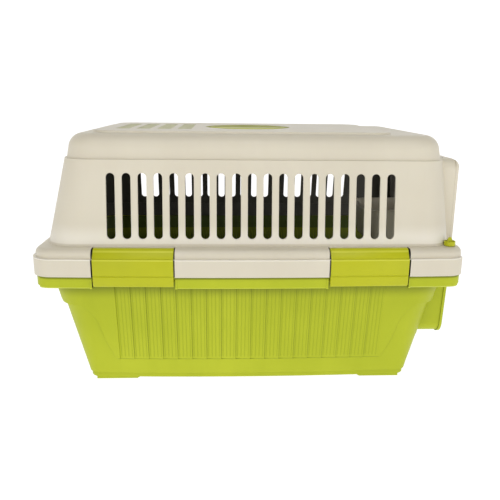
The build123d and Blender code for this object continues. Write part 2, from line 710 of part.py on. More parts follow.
def latch_axis_rod(frame, radius, length):
    """Round rod on a latch's pivot axis."""
    centre = frame.from_local_coords(Vector(-LATCH_PIVOT_INSET, LATCH_PIVOT_Z, 0))
    plane = Plane(origin=centre, x_dir=frame.x_dir, z_dir=frame.z_dir)
    return extrude(plane * Circle(radius), amount=length / 2, both=True)


def latch_bores():
    """Bores in the tub's cheeks for the latches' pegs."""
    reach = LATCH_WIDTH + 2 * (LATCH_GAP + PEG_LENGTH + PEG_CLEARANCE) + 2
    bores = [latch_axis_rod(latch_frame(side, x), PEG_RADIUS + PEG_CLEARANCE, reach) for _, side, x in latch_sites()]
    return Part() + bores


def make_latch(side, x):
    """Latch: a bevelled cover plate hooked over the ledge, on a knuckle with two pegs."""
    frame = latch_frame(side, x)
    thick = LATCH_THICKNESS
    bevel = LATCH_BEVEL
    outer_edge = -LATCH_REACH
    hook_floor = LEDGE_TOP - thick
    foot = LATCH_PIVOT_Z - KNUCKLE_RADIUS
    groove = PARTING + SMALL_GAP
    half_round = LATCH_ROUNDING / 2
    points = [
        (outer_edge, LEDGE_TOP),
        (-thick - bevel + LATCH_ROUNDING, LEDGE_TOP),
        (-LATCH_ROUNDING, RIM_TOP + half_round),
        (0, RIM_TOP - half_round),
        (0, groove + LATCH_GROOVE),
        (-LATCH_GROOVE_DEPTH, groove + 0.7 * LATCH_GROOVE),
        (-LATCH_GROOVE_DEPTH, groove + 0.3 * LATCH_GROOVE),
        (0, groove),
        (0, foot + LATCH_FOOT_BEVEL),
        (-LATCH_FOOT_BEVEL, foot),
        (-LATCH_PIVOT_INSET, foot),
        (-LATCH_PIVOT_INSET, LATCH_PIVOT_Z + KNUCKLE_RADIUS),
        (-thick, LATCH_PIVOT_Z + KNUCKLE_RADIUS),
        (-thick, hook_floor - bevel),
        (-thick - bevel, hook_floor),
        (outer_edge, hook_floor),
    ]
    latch = across_rim(frame, points, LATCH_WIDTH)
    latch += latch_axis_rod(frame, KNUCKLE_RADIUS, LATCH_WIDTH)
    latch += latch_axis_rod(frame, PEG_RADIUS, LATCH_WIDTH + 2 * (LATCH_GAP + PEG_LENGTH - PEG_CLEARANCE))
    return latch


def make_door_frame_wire():
    """Closed frame wire of the door."""
    half = frame_wire_half_width()
    bottom, top = frame_wire_levels()
    plane = Plane(origin=(DOOR_X, 0, (bottom + top) / 2), x_dir=(0, 1, 0), z_dir=(1, 0, 0))
    outline = RectangleRounded(2 * half, top - bottom, FRAME_WIRE_CORNER)
    path = (plane * outline).wire()
    start = Plane(origin=path @ 0, z_dir=path % 0)
    return sweep(start * Circle(FRAME_WIRE_RADIUS), path=path)


def upright_x():
    """X of the upright wires, in front of the frame wire."""
    return DOOR_X + FRAME_WIRE_RADIUS + UPRIGHT_RADIUS


def cross_x():
    """X of the cross wires, behind the upright wires."""
    return upright_x() - UPRIGHT_RADIUS - CROSS_RADIUS


def make_door_upright_wires():
    """Row of upright wires welded to the front of the frame wire."""
    bottom, top = frame_wire_levels()
    first = -(UPRIGHT_COUNT - 1) / 2 * UPRIGHT_PITCH
    wires = [upright_rod(upright_x(), first + i * UPRIGHT_PITCH, UPRIGHT_RADIUS, bottom, top) for i in range(UPRIGHT_COUNT)]
    return Compound(children=wires)


def make_door_cross_wires():
    """Three cross wires behind the uprights, butted to the frame wire."""
    length = 2 * (frame_wire_half_width() - FRAME_WIRE_RADIUS)
    wires = [Pos(cross_x(), 0, z) * Rot(90, 0, 0) * Cylinder(CROSS_RADIUS, length) for z in CROSS_LEVELS]
    return Compound(children=wires)


def make_door_hinge_rod():
    """Hinge rod through both ends of the surround."""
    bottom = DOOR_SURROUND_BOTTOM - HINGE_ROD_PROUD
    top = SHOULDER + HINGE_ROD_PROUD
    return upright_rod(DOOR_X, door_rod_y(), HINGE_ROD_RADIUS, bottom, top)


def bolt_x():
    """X of the two bolts, behind the door."""
    return DOOR_X - BOLT_SETBACK


def grip_level(sign):
    """Height of a bolt grip's centre: sign +1 for the upper bolt, -1 for the lower."""
    return CROSS_LEVELS[1] + sign * (BOLT_GRIP_GAP + BOLT_GRIP_HEIGHT) / 2


def bolt_end(sign):
    """Height of a drawn bolt's free end."""
    if sign > 0:
        return SHOULDER - WALL - BOLT_END_GAP
    return DOOR_SURROUND_BOTTOM + WALL + BOLT_END_GAP


def make_bolt_rod(sign):
    """Steel bolt from its grip to just short of the surround."""
    low, high = sorted((grip_level(sign), bolt_end(sign)))
    return upright_rod(bolt_x(), BOLT_Y, BOLT_RADIUS, low, high)


def make_bolt_grip(sign):
    """Finger grip on a bolt, reaching out between the wires."""
    level = grip_level(sign)
    grip = box_between(
        (bolt_x() - BOLT_GRIP_WIDTH / 3, BOLT_Y - BOLT_GRIP_WIDTH / 2, level - BOLT_GRIP_HEIGHT / 2),
        (DOOR_X + BOLT_GRIP_PROUD, BOLT_Y + BOLT_GRIP_WIDTH / 2, level + BOLT_GRIP_HEIGHT / 2),
    )
    grip = fillet(grip.edges().filter_by(Axis.Y).group_by(Axis.X)[-1], 2.5)
    low, high = sorted((level, level + sign * BOLT_GRIP_HEIGHT))
    return grip - upright_rod(bolt_x(), BOLT_Y, BOLT_RADIUS, low, high)


def make_bolt_housing():
    """Slotted housing behind the door that guides both bolts and their grips."""
    back = bolt_x() - BOLT_GRIP_WIDTH / 3 - SMALL_GAP - WALL
    front = cross_x() - CROSS_RADIUS
    level = CROSS_LEVELS[1]
    half_window = BOLT_GRIP_GAP / 2 + BOLT_GRIP_HEIGHT + BOLT_TRAVEL + SMALL_GAP
    half_height = half_window + HOUSING_END_WALL
    half_width = HOUSING_WIDTH / 2
    body = box_between(
        (back, BOLT_Y - half_width, level - half_height), (front, BOLT_Y + half_width, level + half_height)
    )
    body = fillet(body.edges().filter_by(Axis.X), HOUSING_CORNER)
    window_half = BOLT_GRIP_WIDTH / 2 + SMALL_GAP
    window = box_between(
        (back + WALL, BOLT_Y - window_half, level - half_window),
        (front + OVERCUT, BOLT_Y + window_half, level + half_window),
    )
    bore = upright_rod(bolt_x(), BOLT_Y, BOLT_RADIUS + ROD_CLEARANCE, level - 2 * half_height, level + 2 * half_height)
    return body - window - bore


def make_bolt_guides():
    """Two small guide blocks welded behind the frame wire's top and bottom."""
    bottom, top = frame_wire_levels()
    front = DOOR_X - FRAME_WIRE_RADIUS
    back = bolt_x() - (front - bolt_x())
    guides = []
    for sign, level in ((1, top), (-1, bottom)):
        centre = level - sign * (GUIDE_HEIGHT / 2 - FRAME_WIRE_RADIUS)
        block = box_between(
            (back, BOLT_Y - GUIDE_WIDTH / 2, centre - GUIDE_HEIGHT / 2),
            (front, BOLT_Y + GUIDE_WIDTH / 2, centre + GUIDE_HEIGHT / 2),
        )
        bore = upright_rod(bolt_x(), BOLT_Y, BOLT_RADIUS + ROD_CLEARANCE, centre - GUIDE_HEIGHT, centre + GUIDE_HEIGHT)
        guides.append(block - bore)
    return Compound(children=guides)


def make_food_bowl():
    """Tapered bowl with a rim and two hooks over the door's upper cross wire."""
    back = cross_x() - CROSS_RADIUS - HOOK_CLEARANCE
    centre_x = back - BOWL_LENGTH / 2

    bottom = BOWL_TOP - BOWL_DEPTH
    lean = degrees(atan(BOWL_TAPER / BOWL_DEPTH))

    def bowl_plan(inset, height):
        face = RectangleRounded(BOWL_LENGTH - 2 * inset, BOWL_WIDTH - 2 * inset, BOWL_CORNER - inset)
        return Pos(centre_x, 0, height) * face

    body = extrude(bowl_plan(BOWL_RIM + BOWL_TAPER, bottom), amount=BOWL_DEPTH, taper=-lean)
    rim = extrude(bowl_plan(0, BOWL_TOP - BOWL_WALL), amount=BOWL_WALL)
    floor = bottom + BOWL_WALL
    pit = extrude(bowl_plan(BOWL_RIM + BOWL_TAPER + BOWL_WALL, floor), amount=BOWL_DEPTH, taper=-lean)
    bowl = body + rim - pit
    wire_x = cross_x()
    wire_z = CROSS_LEVELS[2]
    inner = CROSS_RADIUS + HOOK_CLEARANCE
    outer = inner + HOOK_THICKNESS
    ring = Pos(wire_x, wire_z) * (Circle(outer) - Circle(inner))
    arch = ring & (Pos(wire_x, wire_z + outer) * Rectangle(4 * outer, 2 * outer))
    stem = Pos(wire_x - (inner + outer) / 2, (BOWL_TOP - BOWL_WALL + wire_z) / 2)
    stem = stem * Rectangle(HOOK_THICKNESS, wire_z - BOWL_TOP + BOWL_WALL)
    drop = Pos(wire_x + (inner + outer) / 2, wire_z - HOOK_DROP / 2) * Rectangle(HOOK_THICKNESS, HOOK_DROP)
    section = Plane.XZ * (arch + stem + drop)
    for side in (-1, 1):
        bowl += Pos(0, side * HOOK_SPACING / 2, 0) * extrude(section, amount=HOOK_WIDTH / 2, both=True)
    return bowl


def make_corner_lock(side):
    """Quarter-turn lock: winged knob, stem through ledge and flange, and a cross foot below."""
    plate_bottom = SEAT - WALL
    stem = upright_rod(0, 0, LOCK_STEM_RADIUS, plate_bottom - LOCK_FOOT_GAP - LOCK_FOOT_HEIGHT, LEDGE_TOP + 1)
    flange_low = LEDGE_TOP + SMALL_GAP
    flange = upright_rod(0, 0, LOCK_FLANGE_RADIUS, flange_low, flange_low + LOCK_FLANGE_HEIGHT)
    flange = chamfer(flange.edges().group_by(Axis.Z)[-1], 1.2)
    top = flange_low + LOCK_WING_HEIGHT
    wing_face = make_face(
        Polyline(
            (-LOCK_FLANGE_RADIUS + 1.2, flange_low + 1),
            (LOCK_FLANGE_RADIUS - 1.2, flange_low + 1),
            (1.4, top),
            (-1.4, top),
            close=True,
        )
    )
    wing = extrude(Plane.XZ * wing_face, amount=LOCK_WING_WIDTH / 2, both=True)
    foot_top = plate_bottom - LOCK_FOOT_GAP
    foot = box_between(
        (-LOCK_FOOT_RADIUS, -LOCK_STEM_RADIUS, foot_top - LOCK_FOOT_HEIGHT),
        (LOCK_FOOT_RADIUS, LOCK_STEM_RADIUS, foot_top),
    )
    foot &= upright_rod(0, 0, LOCK_FOOT_RADIUS, foot_top - LOCK_FOOT_HEIGHT, foot_top)
    return Pos(LOCK_X, side * LOCK_Y, 0) * (stem + flange + wing + foot)


def all_parts():
    """Every sub-part by the name of its node."""
    parts = {
        "lower_tub": make_lower_tub(),
        "upper_shell": make_upper_shell(),
        "carry_handle": make_carry_handle(),
        "door_frame_wire": make_door_frame_wire(),
        "door_upright_wires": make_door_upright_wires(),
        "door_cross_wires": make_door_cross_wires(),
        "door_hinge_rod": make_door_hinge_rod(),
        "door_bolt_housing": make_bolt_housing(),
        "door_bolt_guides": make_bolt_guides(),
        "bolt_rod_upper": make_bolt_rod(1),
        "bolt_rod_lower": make_bolt_rod(-1),
        "bolt_grip_upper": make_bolt_grip(1),
        "bolt_grip_lower": make_bolt_grip(-1),
        "food_bowl": make_food_bowl(),
    }
    for name, side, x in latch_sites():
        parts[name] = make_latch(side, x)
    for name, side in lock_sites():
        parts[name] = make_corner_lock(side)
    return parts


def main():
    """Write one STEP file for each sub-part."""
    os.makedirs("parts", exist_ok=True)
    for name, part in all_parts().items():
        export_step(part, f"parts/{name}.step")
        box = part.bounding_box()
        print(name, [round(v, 1) for v in (*box.min, *box.max)])


main()
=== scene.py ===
"""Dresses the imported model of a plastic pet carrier: two moulded shells, latches, wire door and bowl."""

import logging
from dataclasses import dataclass, field
from enum import Enum
from math import pi, radians
from typing import Optional, Sequence, Union

import bmesh
import bpy
from mathutils import Matrix, Vector

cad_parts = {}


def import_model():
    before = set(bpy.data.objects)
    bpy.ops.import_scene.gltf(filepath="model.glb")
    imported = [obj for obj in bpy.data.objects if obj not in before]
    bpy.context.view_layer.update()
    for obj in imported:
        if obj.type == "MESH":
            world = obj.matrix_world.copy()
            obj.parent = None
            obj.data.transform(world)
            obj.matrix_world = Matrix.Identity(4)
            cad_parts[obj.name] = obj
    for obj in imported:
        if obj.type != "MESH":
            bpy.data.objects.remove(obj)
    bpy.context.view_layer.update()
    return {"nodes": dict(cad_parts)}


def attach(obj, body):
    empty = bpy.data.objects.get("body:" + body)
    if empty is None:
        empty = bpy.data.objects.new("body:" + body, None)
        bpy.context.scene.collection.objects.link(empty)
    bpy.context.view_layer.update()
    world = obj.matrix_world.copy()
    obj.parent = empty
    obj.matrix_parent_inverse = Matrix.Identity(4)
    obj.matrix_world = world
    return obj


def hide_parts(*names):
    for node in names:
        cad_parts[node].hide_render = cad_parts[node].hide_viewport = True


LOG = logging.getLogger("pet_carrier")
TINY = 1e-6

Triple = tuple[float, float, float]
Colour = Triple
Ramp = tuple[float, float]
Outline = Sequence[tuple[float, float]]
Number = Union[float, int]
Operand = Union["Signal", Number]
Edge = bmesh.types.BMEdge
Vert = bmesh.types.BMVert


class Axis(Enum):
    """Directions of the shared frame."""

    ALONG = Vector((1.0, 0.0, 0.0))
    ACROSS = Vector((0.0, 1.0, 0.0))
    UP = Vector((0.0, 0.0, 1.0))


class Side(Enum):
    """The two long sides, by the sign of Y."""

    NEAR = -1
    FAR = 1


class Slot(Enum):
    """Material slots of the record."""

    CREAM = "cream_plastic"
    GREEN = "green_plastic"
    LATCH = "latch_plastic"
    WIRE = "coated_wire"
    STEEL = "steel_rod"


class Signal:
    """A shader socket whose arithmetic adds Math nodes."""

    def __init__(self, bench: "MaterialBench", socket: bpy.types.NodeSocket) -> None:
        """Keeps the socket and the bench that its nodes are added on."""
        self.bench = bench
        self.socket = socket

    def _maths(self, operation: str, *values: Operand) -> "Signal":
        """Adds one Math node.

        Args:
            operation: the node's operation.
            values: its inputs in order.

        Returns:
            The node's result.
        """
        inputs = dict(enumerate(values))
        return self.bench.node("ShaderNodeMath", {"operation": operation}, inputs)

    def __add__(self, other: Operand) -> "Signal":
        """Sum."""
        return self._maths("ADD", self, other)

    def __radd__(self, other: Number) -> "Signal":
        """Sum, with the number first."""
        return self._maths("ADD", other, self)

    def __sub__(self, other: Operand) -> "Signal":
        """Difference."""
        return self._maths("SUBTRACT", self, other)

    def __rsub__(self, other: Number) -> "Signal":
        """Difference, with the number first."""
        return self._maths("SUBTRACT", other, self)

    def __mul__(self, other: Operand) -> "Signal":
        """Product."""
        return self._maths("MULTIPLY", self, other)

    def __rmul__(self, other: Number) -> "Signal":
        """Product, with the number first."""
        return self._maths("MULTIPLY", other, self)

    def __truediv__(self, other: Operand) -> "Signal":
        """Quotient."""
        return self._maths("DIVIDE", self, other)

    def __abs__(self) -> "Signal":
        """Size without sign."""
        return self._maths("ABSOLUTE", self)

    def fraction(self) -> "Signal":
        """Part after the decimal point."""
        return self._maths("FRACT", self)

    def step(self, low: float, high: float) -> "Signal":
        """Smooth rise from 0 at low to 1 at high.

        Args:
            low: where the rise starts.
            high: where it ends; below low, the rise turns into a fall.

        Returns:
            The eased value.
        """
        settings = {"interpolation_type": "SMOOTHSTEP"}
        ends = (low, high, 0.0, 1.0) if high > low else (high, low, 1.0, 0.0)
        names = ("From Min", "From Max", "To Min", "To Max")
        inputs = {"Value": self, **dict(zip(names, ends))}
        return self.bench.node("ShaderNodeMapRange", settings, inputs)

    def band(self, rise: Ramp, fall: Ramp) -> "Signal":
        """Smooth rise over one ramp and smooth fall over another."""
        return self.step(*rise) * self.step(*fall)


class MaterialBench:
    """One material being built, with its node tree."""

    def __init__(self, name: str) -> None:
        """Starts an empty material under a name."""
        self.material = bpy.data.materials.new(name)
        self.material.use_nodes = True
        self.tree = self.material.node_tree
        self.tree.nodes.clear()

    def node(self, kind: str, settings: Optional[dict] = None, inputs: Optional[dict] = None,
             output: Union[int, str] = 0) -> Signal:
        """Adds a node of any kind.

        Args:
            kind: the node's type name.
            settings: its properties, set before its sockets.
            inputs: values or links by socket name or number.
            output: the output socket that is wanted.

        Returns:
            The output as a signal.
        """
        made = self.tree.nodes.new(kind)
        for name, value in (settings or {}).items():
            setattr(made, name, value)
        for name, value in (inputs or {}).items():
            socket = made.inputs[name]
            if isinstance(value, Signal):
                self.tree.links.new(value.socket, socket)
            elif isinstance(value, tuple) and len(value) == 3 and socket.type == "RGBA":
                socket.default_value = (*value, 1.0)
            else:
                socket.default_value = value
        return Signal(self, made.outputs[output])

    def split(self, output: str) -> tuple[Signal, Signal, Signal]:
        """The three parts of one of the object's own coordinates."""
        whole = self.node("ShaderNodeTexCoord", output=output)
        first = self.node("ShaderNodeSeparateXYZ", inputs={0: whole})
        outputs = first.socket.node.outputs
        return first, Signal(self, outputs[1]), Signal(self, outputs[2])

    def coordinates(self) -> tuple[Signal, Signal, Signal]:
        """The position on the object, in metres."""
        return self.split("Object")

    def facing(self) -> tuple[Signal, Signal, Signal]:
        """The surface normal's three coordinates."""
        return self.split("Normal")

    def noise(self, scale: float, detail: float = 3.0, stretch: Triple = (1.0, 1.0, 1.0)) -> Signal:
        """Fractal noise over the object.

        Args:
            scale: features in a metre.
            detail: octaves.
            stretch: factors on the three coordinates, for streaks.

        Returns:
            The noise, near 0.5 on average.
        """
        place = self.node("ShaderNodeTexCoord", output="Object")
        where = self.node("ShaderNodeMapping", inputs={"Vector": place, "Scale": stretch})
        return self.node("ShaderNodeTexNoise", inputs={"Vector": where, "Scale": scale, "Detail": detail})

    def blend(self, share: Operand, first: Union[Colour, Signal], second: Union[Colour, Signal]) -> Signal:
        """Mixes two colours.

        Args:
            share: how much of the second colour.
            first: colour at 0.
            second: colour at 1.

        Returns:
            The mixed colour.
        """
        settings = {"data_type": "RGBA", "clamp_factor": True}
        made = self.node("ShaderNodeMix", settings, {0: share}, output=2)
        sockets = made.socket.node.inputs
        for socket, value in ((sockets[6], first), (sockets[7], second)):
            if isinstance(value, Signal):
                self.tree.links.new(value.socket, socket)
            else:
                socket.default_value = (*value, 1.0)
        return made

    def relief(self, height: Signal, depth: float, strength: float,
               under: Optional[Signal] = None) -> Signal:
        """Turns a height into a bumped normal.

        Args:
            height: the height, from 0 to 1.
            depth: what 1 means, in metres.
            strength: how much of the bump shows.
            under: a normal to add the bump to.

        Returns:
            The normal.
        """
        inputs: dict = {"Height": height, "Distance": depth, "Strength": strength}
        if under is not None:
            inputs["Normal"] = under
        return self.node("ShaderNodeBump", inputs=inputs)

    def soft_edges(self, radius: float) -> Signal:
        """Normal that rounds sharp edges off by a radius in metres."""
        return self.node("ShaderNodeBevel", {"samples": 4}, {"Radius": radius})

    def finish(self, **sockets: Union[Signal, Number, Colour]) -> bpy.types.Material:
        """Adds the shader and the output.

        Args:
            sockets: the shader's sockets, by name with underscores for spaces.

        Returns:
            The finished material.
        """
        inputs = {name.replace("_", " "): value for name, value in sockets.items()}
        shader = self.node("ShaderNodeBsdfPrincipled", inputs=inputs)
        output = self.tree.nodes.new("ShaderNodeOutputMaterial")
        self.tree.links.new(shader.socket, output.inputs["Surface"])
        return self.material


@dataclass(frozen=True)
class Marks:
    """Noise cut to a ramp, such as scuffs, specks or chips."""

    scale: float
    detail: float
    ramp: Ramp
    share: float = 1.0
    stretch: Triple = (1.0, 1.0, 1.0)

    def mask(self, bench: MaterialBench) -> Signal:
        """Where the marks are, times their share."""
        return bench.noise(self.scale, self.detail, self.stretch).step(*self.ramp) * self.share


@dataclass(frozen=True)
class PaintedLightArea:
    """Area of a moulding painted another colour to stand in for light, shade or reflected light, bounded by
    ramps.
    """

    colour: Colour
    share: float
    across: Ramp
    rise: Ramp
    fall: Ramp = (1.0, 0.9)
    along: Ramp = (1.0, 0.9)
    middle: float = 0.0
    upright: Ramp = (1.2, 1.1)

    def mask(self, bench: MaterialBench) -> Signal:
        """The area, times its share."""
        along, across, up = bench.coordinates()
        _, _, out_up = bench.facing()
        area = abs(along - self.middle).step(*self.along) * abs(across).step(*self.across)
        return area * up.band(self.rise, self.fall) * abs(out_up).step(*self.upright) * self.share


@dataclass(frozen=True)
class MouldedPlastic:
    """Satin moulded plastic with a faint grain, flow marks, light handling wear, painted shade and painted
    highlights.
    """

    name: str
    colour: Colour
    shade: Colour
    worn: Colour
    # colour of the painted highlight lines along raised edges
    highlight_colour: Colour
    roughness: float = 0.42
    gloss: float = 0.5
    translucence: float = 0.04
    bleed: Triple = (0.006, 0.005, 0.002)
    mottle: Marks = Marks(7.0, 4.0, (0.35, 0.7), 0.5)
    flow: Marks = Marks(38.0, 2.0, (0.42, 0.66), 0.18, (1.0, 1.0, 0.22))
    scuffs: Marks = Marks(160.0, 6.0, (0.66, 0.78), 0.35, (0.35, 0.35, 1.0))
    patches: Marks = Marks(11.0, 2.0, (0.5, 0.68))
    specks: Marks = Marks(900.0, 2.0, (0.74, 0.8), 0.25)
    rub_scale: float = 24.0
    rub_stretch: Triple = (1.0, 1.0, 0.5)
    haze_scale: float = 700.0
    grain_scale: float = 1500.0
    grain_depth: float = 0.00007
    wave_scale: float = 26.0
    wave_depth: float = 0.0006
    edge_radius: float = 0.0009
    under_painted_light: Sequence[PaintedLightArea] = ()
    over_painted_light: Sequence[PaintedLightArea] = ()
    # painted shade for the cabin: colour and share on the faces that look inside
    cabin_shade: Colour = (0.05, 0.047, 0.04)
    cabin_shade_share: float = 0.0
    inside_sides: Ramp = (-0.06, -0.09)
    inside_ends: Ramp = (-0.2, -0.23)
    inside_levels: Ramp = (-0.13, -0.16)
    cabin_middle: float = 0.2
    cabin_front: Ramp = (0.302, 0.288)
    # painted shade in the gaps beside the latches: colour, share and extent
    gap_shade_colour: Colour = (0.006, 0.006, 0.004)
    gap_shade_share: float = 0.0
    gap_start: Ramp = (0.0549, 0.0552)
    gap_end: Ramp = (0.057, 0.0568)
    gap_foot: Ramp = (0.162, 0.164)
    gap_head: Ramp = (0.2195, 0.2185)
    latch_centre: float = 0.163
    rim_side: Ramp = (0.186, 0.19)
    rim_end: Ramp = (0.29, 0.292)
    # painted highlight lines: their levels, blur, share and noise scale
    highlight_levels: Sequence[tuple[float, float]] = ()
    highlight_blur: float = 0.0005
    highlight_share: float = 0.7
    highlight_scale: float = 30.0

    def inner_faces(self, bench: MaterialBench) -> Signal:
        """Mask of the faces that look into the cabin, where shade is painted.

        Args:
            bench: the material being built.

        Returns:
            1 on inner faces, 0 elsewhere.
        """
        along, across, up = bench.coordinates()
        out_along, out_across, out_up = bench.facing()
        sides = (across * out_across).step(*self.inside_sides)
        ends = (along * out_along).step(*self.inside_ends)
        levels = ((up - self.cabin_middle) * out_up).step(*self.inside_levels)
        outside = (1.0 - sides) * (1.0 - ends) * (1.0 - levels)
        return (1.0 - outside) * along.step(*self.cabin_front)

    def latch_gap_shade(self, bench: MaterialBench) -> Signal:
        """Mask of the gaps on both sides of each latch, where shade is painted dark."""
        along, across, up = bench.coordinates()
        strip = abs(abs(along) - self.latch_centre).band(self.gap_start, self.gap_end)
        return strip * abs(across).step(*self.rim_side) * up.band(self.gap_foot, self.gap_head)

    def edge_highlights(self, bench: MaterialBench) -> Signal:
        """Mask of the painted highlight lines along the raised edges round the rim, broken up by noise."""
        along, across, up = bench.coordinates()
        blur = self.highlight_blur
        lines = [up.band((low, low + blur), (high, high - blur)) for low, high in self.highlight_levels]
        total = lines[0]
        for line in lines[1:]:
            total = total + line
        outer = 1.0 - (1.0 - abs(across).step(*self.rim_side)) * (1.0 - abs(along).step(*self.rim_end))
        return total * outer * (0.55 + 0.6 * bench.noise(self.highlight_scale))

    def colours(self, bench: MaterialBench) -> Signal:
        """Mottled base colour with pale scuffs, painted light and shade tints, painted shade in the cabin
        and latch gaps, and painted highlight lines.

        Args:
            bench: the material being built.

        Returns:
            The colour.
        """
        base = bench.blend(self.mottle.mask(bench), self.colour, self.shade)
        base = bench.blend(self.flow.mask(bench), base, self.shade)
        base = bench.blend(self.scuffs.mask(bench) * self.patches.mask(bench), base, self.worn)
        base = bench.blend(self.specks.mask(bench), base, self.shade)
        # painted light and shade tints, laid before the cabin and gap shade
        for tint in self.under_painted_light:
            base = bench.blend(tint.mask(bench), base, tint.colour)
        # painted shade: the faces inside the cabin are darkened as if little light reached them
        if self.cabin_shade_share:
            base = bench.blend(self.inner_faces(bench) * self.cabin_shade_share, base, self.cabin_shade)
        # painted shade: near-black in the narrow gaps beside each latch
        if self.gap_shade_share:
            base = bench.blend(self.latch_gap_shade(bench) * self.gap_shade_share, base, self.gap_shade_colour)
        # painted shade and reflected-light tints, laid over the cabin and gap shade
        for tint in self.over_painted_light:
            base = bench.blend(tint.mask(bench), base, tint.colour)
        # painted highlight: paler lines along the raised edges round the rim
        if self.highlight_levels:
            base = bench.blend(self.edge_highlights(bench) * self.highlight_share, base, self.highlight_colour)
        return base

    def roughnesses(self, bench: MaterialBench) -> Signal:
        """Roughness with smoothed and rubbed areas."""
        rub = bench.noise(self.rub_scale, 5.0, self.rub_stretch)
        return self.roughness - 0.06 + 0.14 * rub + 0.05 * bench.noise(self.haze_scale, 2.0)

    def relief(self, bench: MaterialBench) -> Signal:
        """Grain over slow waves in the skin, on rounded edges."""
        edges = bench.soft_edges(self.edge_radius)
        waves = bench.relief(bench.noise(self.wave_scale, 1.0), self.wave_depth, 0.35, edges)
        return bench.relief(bench.noise(self.grain_scale, 2.0), self.grain_depth, 0.5, waves)

    def build(self) -> bpy.types.Material:
        """Makes the material."""
        bench = MaterialBench(self.name)
        return bench.finish(
            Base_Color=self.colours(bench),
            Roughness=self.roughnesses(bench),
            Normal=self.relief(bench),
            IOR=1.49,
            Specular_IOR_Level=self.gloss,
            Subsurface_Weight=self.translucence,
            Subsurface_Radius=self.bleed,
            Subsurface_Scale=1.0,
        )


@dataclass(frozen=True)
class PleatedPlastic(MouldedPlastic):
    """Tub plastic whose pleats carry fine upright flutes, with shade painted into their troughs."""

    pleat_pitch: float = 0.0216
    pleats_off: float = 100.0
    root_fall: Ramp = (0.08, 0.0)
    root_rise: Ramp = (0.965, 1.0)
    flutes: int = 4
    flute_depth: float = 0.0006
    flute_trough: Ramp = (0.45, 0.0)
    panel_ends: Ramp = (0.194, 0.192)
    panel_low: Ramp = (0.041, 0.045)
    panel_high: Ramp = (0.1635, 0.1595)
    long_wall: Ramp = (0.6, 0.8)
    # colours of painted shade: along the pleat roots and panel crease, in the flute troughs, and under the
    # flange
    crease_shade: Colour = (0.24, 0.3, 0.004)
    flute_shade: Colour = (0.33, 0.39, 0.004)
    dusk: Colour = (0.2, 0.235, 0.004)
    crease_rise: Ramp = (0.0382, 0.039)
    crease_fall: Ramp = (0.0404, 0.0396)
    crease_ends: Ramp = (0.2, 0.196)
    shade_rise: Ramp = (0.138, 0.1645)
    shade_fall: Ramp = (0.1685, 0.1665)
    seam_rise: Ramp = (0.1762, 0.1788)
    seam_fall: Ramp = (0.1835, 0.1825)
    skirt_end: Ramp = (0.2895, 0.291)
    skirt_side: Ramp = (0.1935, 0.195)
    door_end: Ramp = (0.29, 0.27)
    upright: Ramp = (0.7, 0.5)

    def flute_mask(self, bench: MaterialBench) -> tuple[Signal, Signal]:
        """Flute height and the area where flutes show.

        Args:
            bench: the material being built.

        Returns:
            The height across each flute, and the mask.
        """
        along, _, up = bench.coordinates()
        _, out_across, _ = bench.facing()
        wave = (along * (self.flutes / self.pleat_pitch) + self.pleats_off).fraction()
        height = abs(wave - 0.5) * 2.0
        area = abs(along).step(*self.panel_ends) * up.band(self.panel_low, self.panel_high)
        return height, area * abs(out_across).step(*self.long_wall)

    def colours(self, bench: MaterialBench) -> Signal:
        """Base colour with painted shade in the flutes' troughs, along the pleat roots and panel crease, and
        under the flange.
        """
        height, area = self.flute_mask(bench)
        along, _, _ = bench.coordinates()
        root = (along / self.pleat_pitch + self.pleats_off).fraction()
        root = root.step(*self.root_fall) + root.step(*self.root_rise)
        base = super().colours(bench)
        # painted shade in the flutes' troughs
        base = bench.blend(height.step(*self.flute_trough) * area * 0.75, base, self.flute_shade)
        # painted shade along each pleat's root
        base = bench.blend(root * area * 0.45, base, self.crease_shade)
        # painted shade line along the panel's foot
        base = bench.blend(self.panel_crease_shade(bench) * 0.5, base, self.crease_shade)
        return bench.blend(self.rim_shade(bench), base, self.dusk)

    def panel_crease_shade(self, bench: MaterialBench) -> Signal:
        """Mask of the painted shade line along the raised panel's foot."""
        along, _, up = bench.coordinates()
        _, out_across, _ = bench.facing()
        line = up.band(self.crease_rise, self.crease_fall) * abs(along).step(*self.crease_ends)
        return line * abs(out_across).step(*self.long_wall)

    def rim_shade(self, bench: MaterialBench) -> Signal:
        """Mask of the dusk under the flange and in the seam under the upper shell."""
        along, across, up = bench.coordinates()
        _, _, out_up = bench.facing()
        wall = (1.0 - abs(along).step(*self.skirt_end)) * (1.0 - abs(across).step(*self.skirt_side))
        wall = wall * along.step(*self.door_end)
        dusk = up.band(self.shade_rise, self.shade_fall) * wall
        seam = up.band(self.seam_rise, self.seam_fall) * (1.0 - wall)
        return (dusk + seam) * abs(out_up).step(*self.upright)

    def relief(self, bench: MaterialBench) -> Signal:
        """Flutes under the plain plastic's relief."""
        height, area = self.flute_mask(bench)
        return bench.relief(height * area, self.flute_depth, 0.5, super().relief(bench))


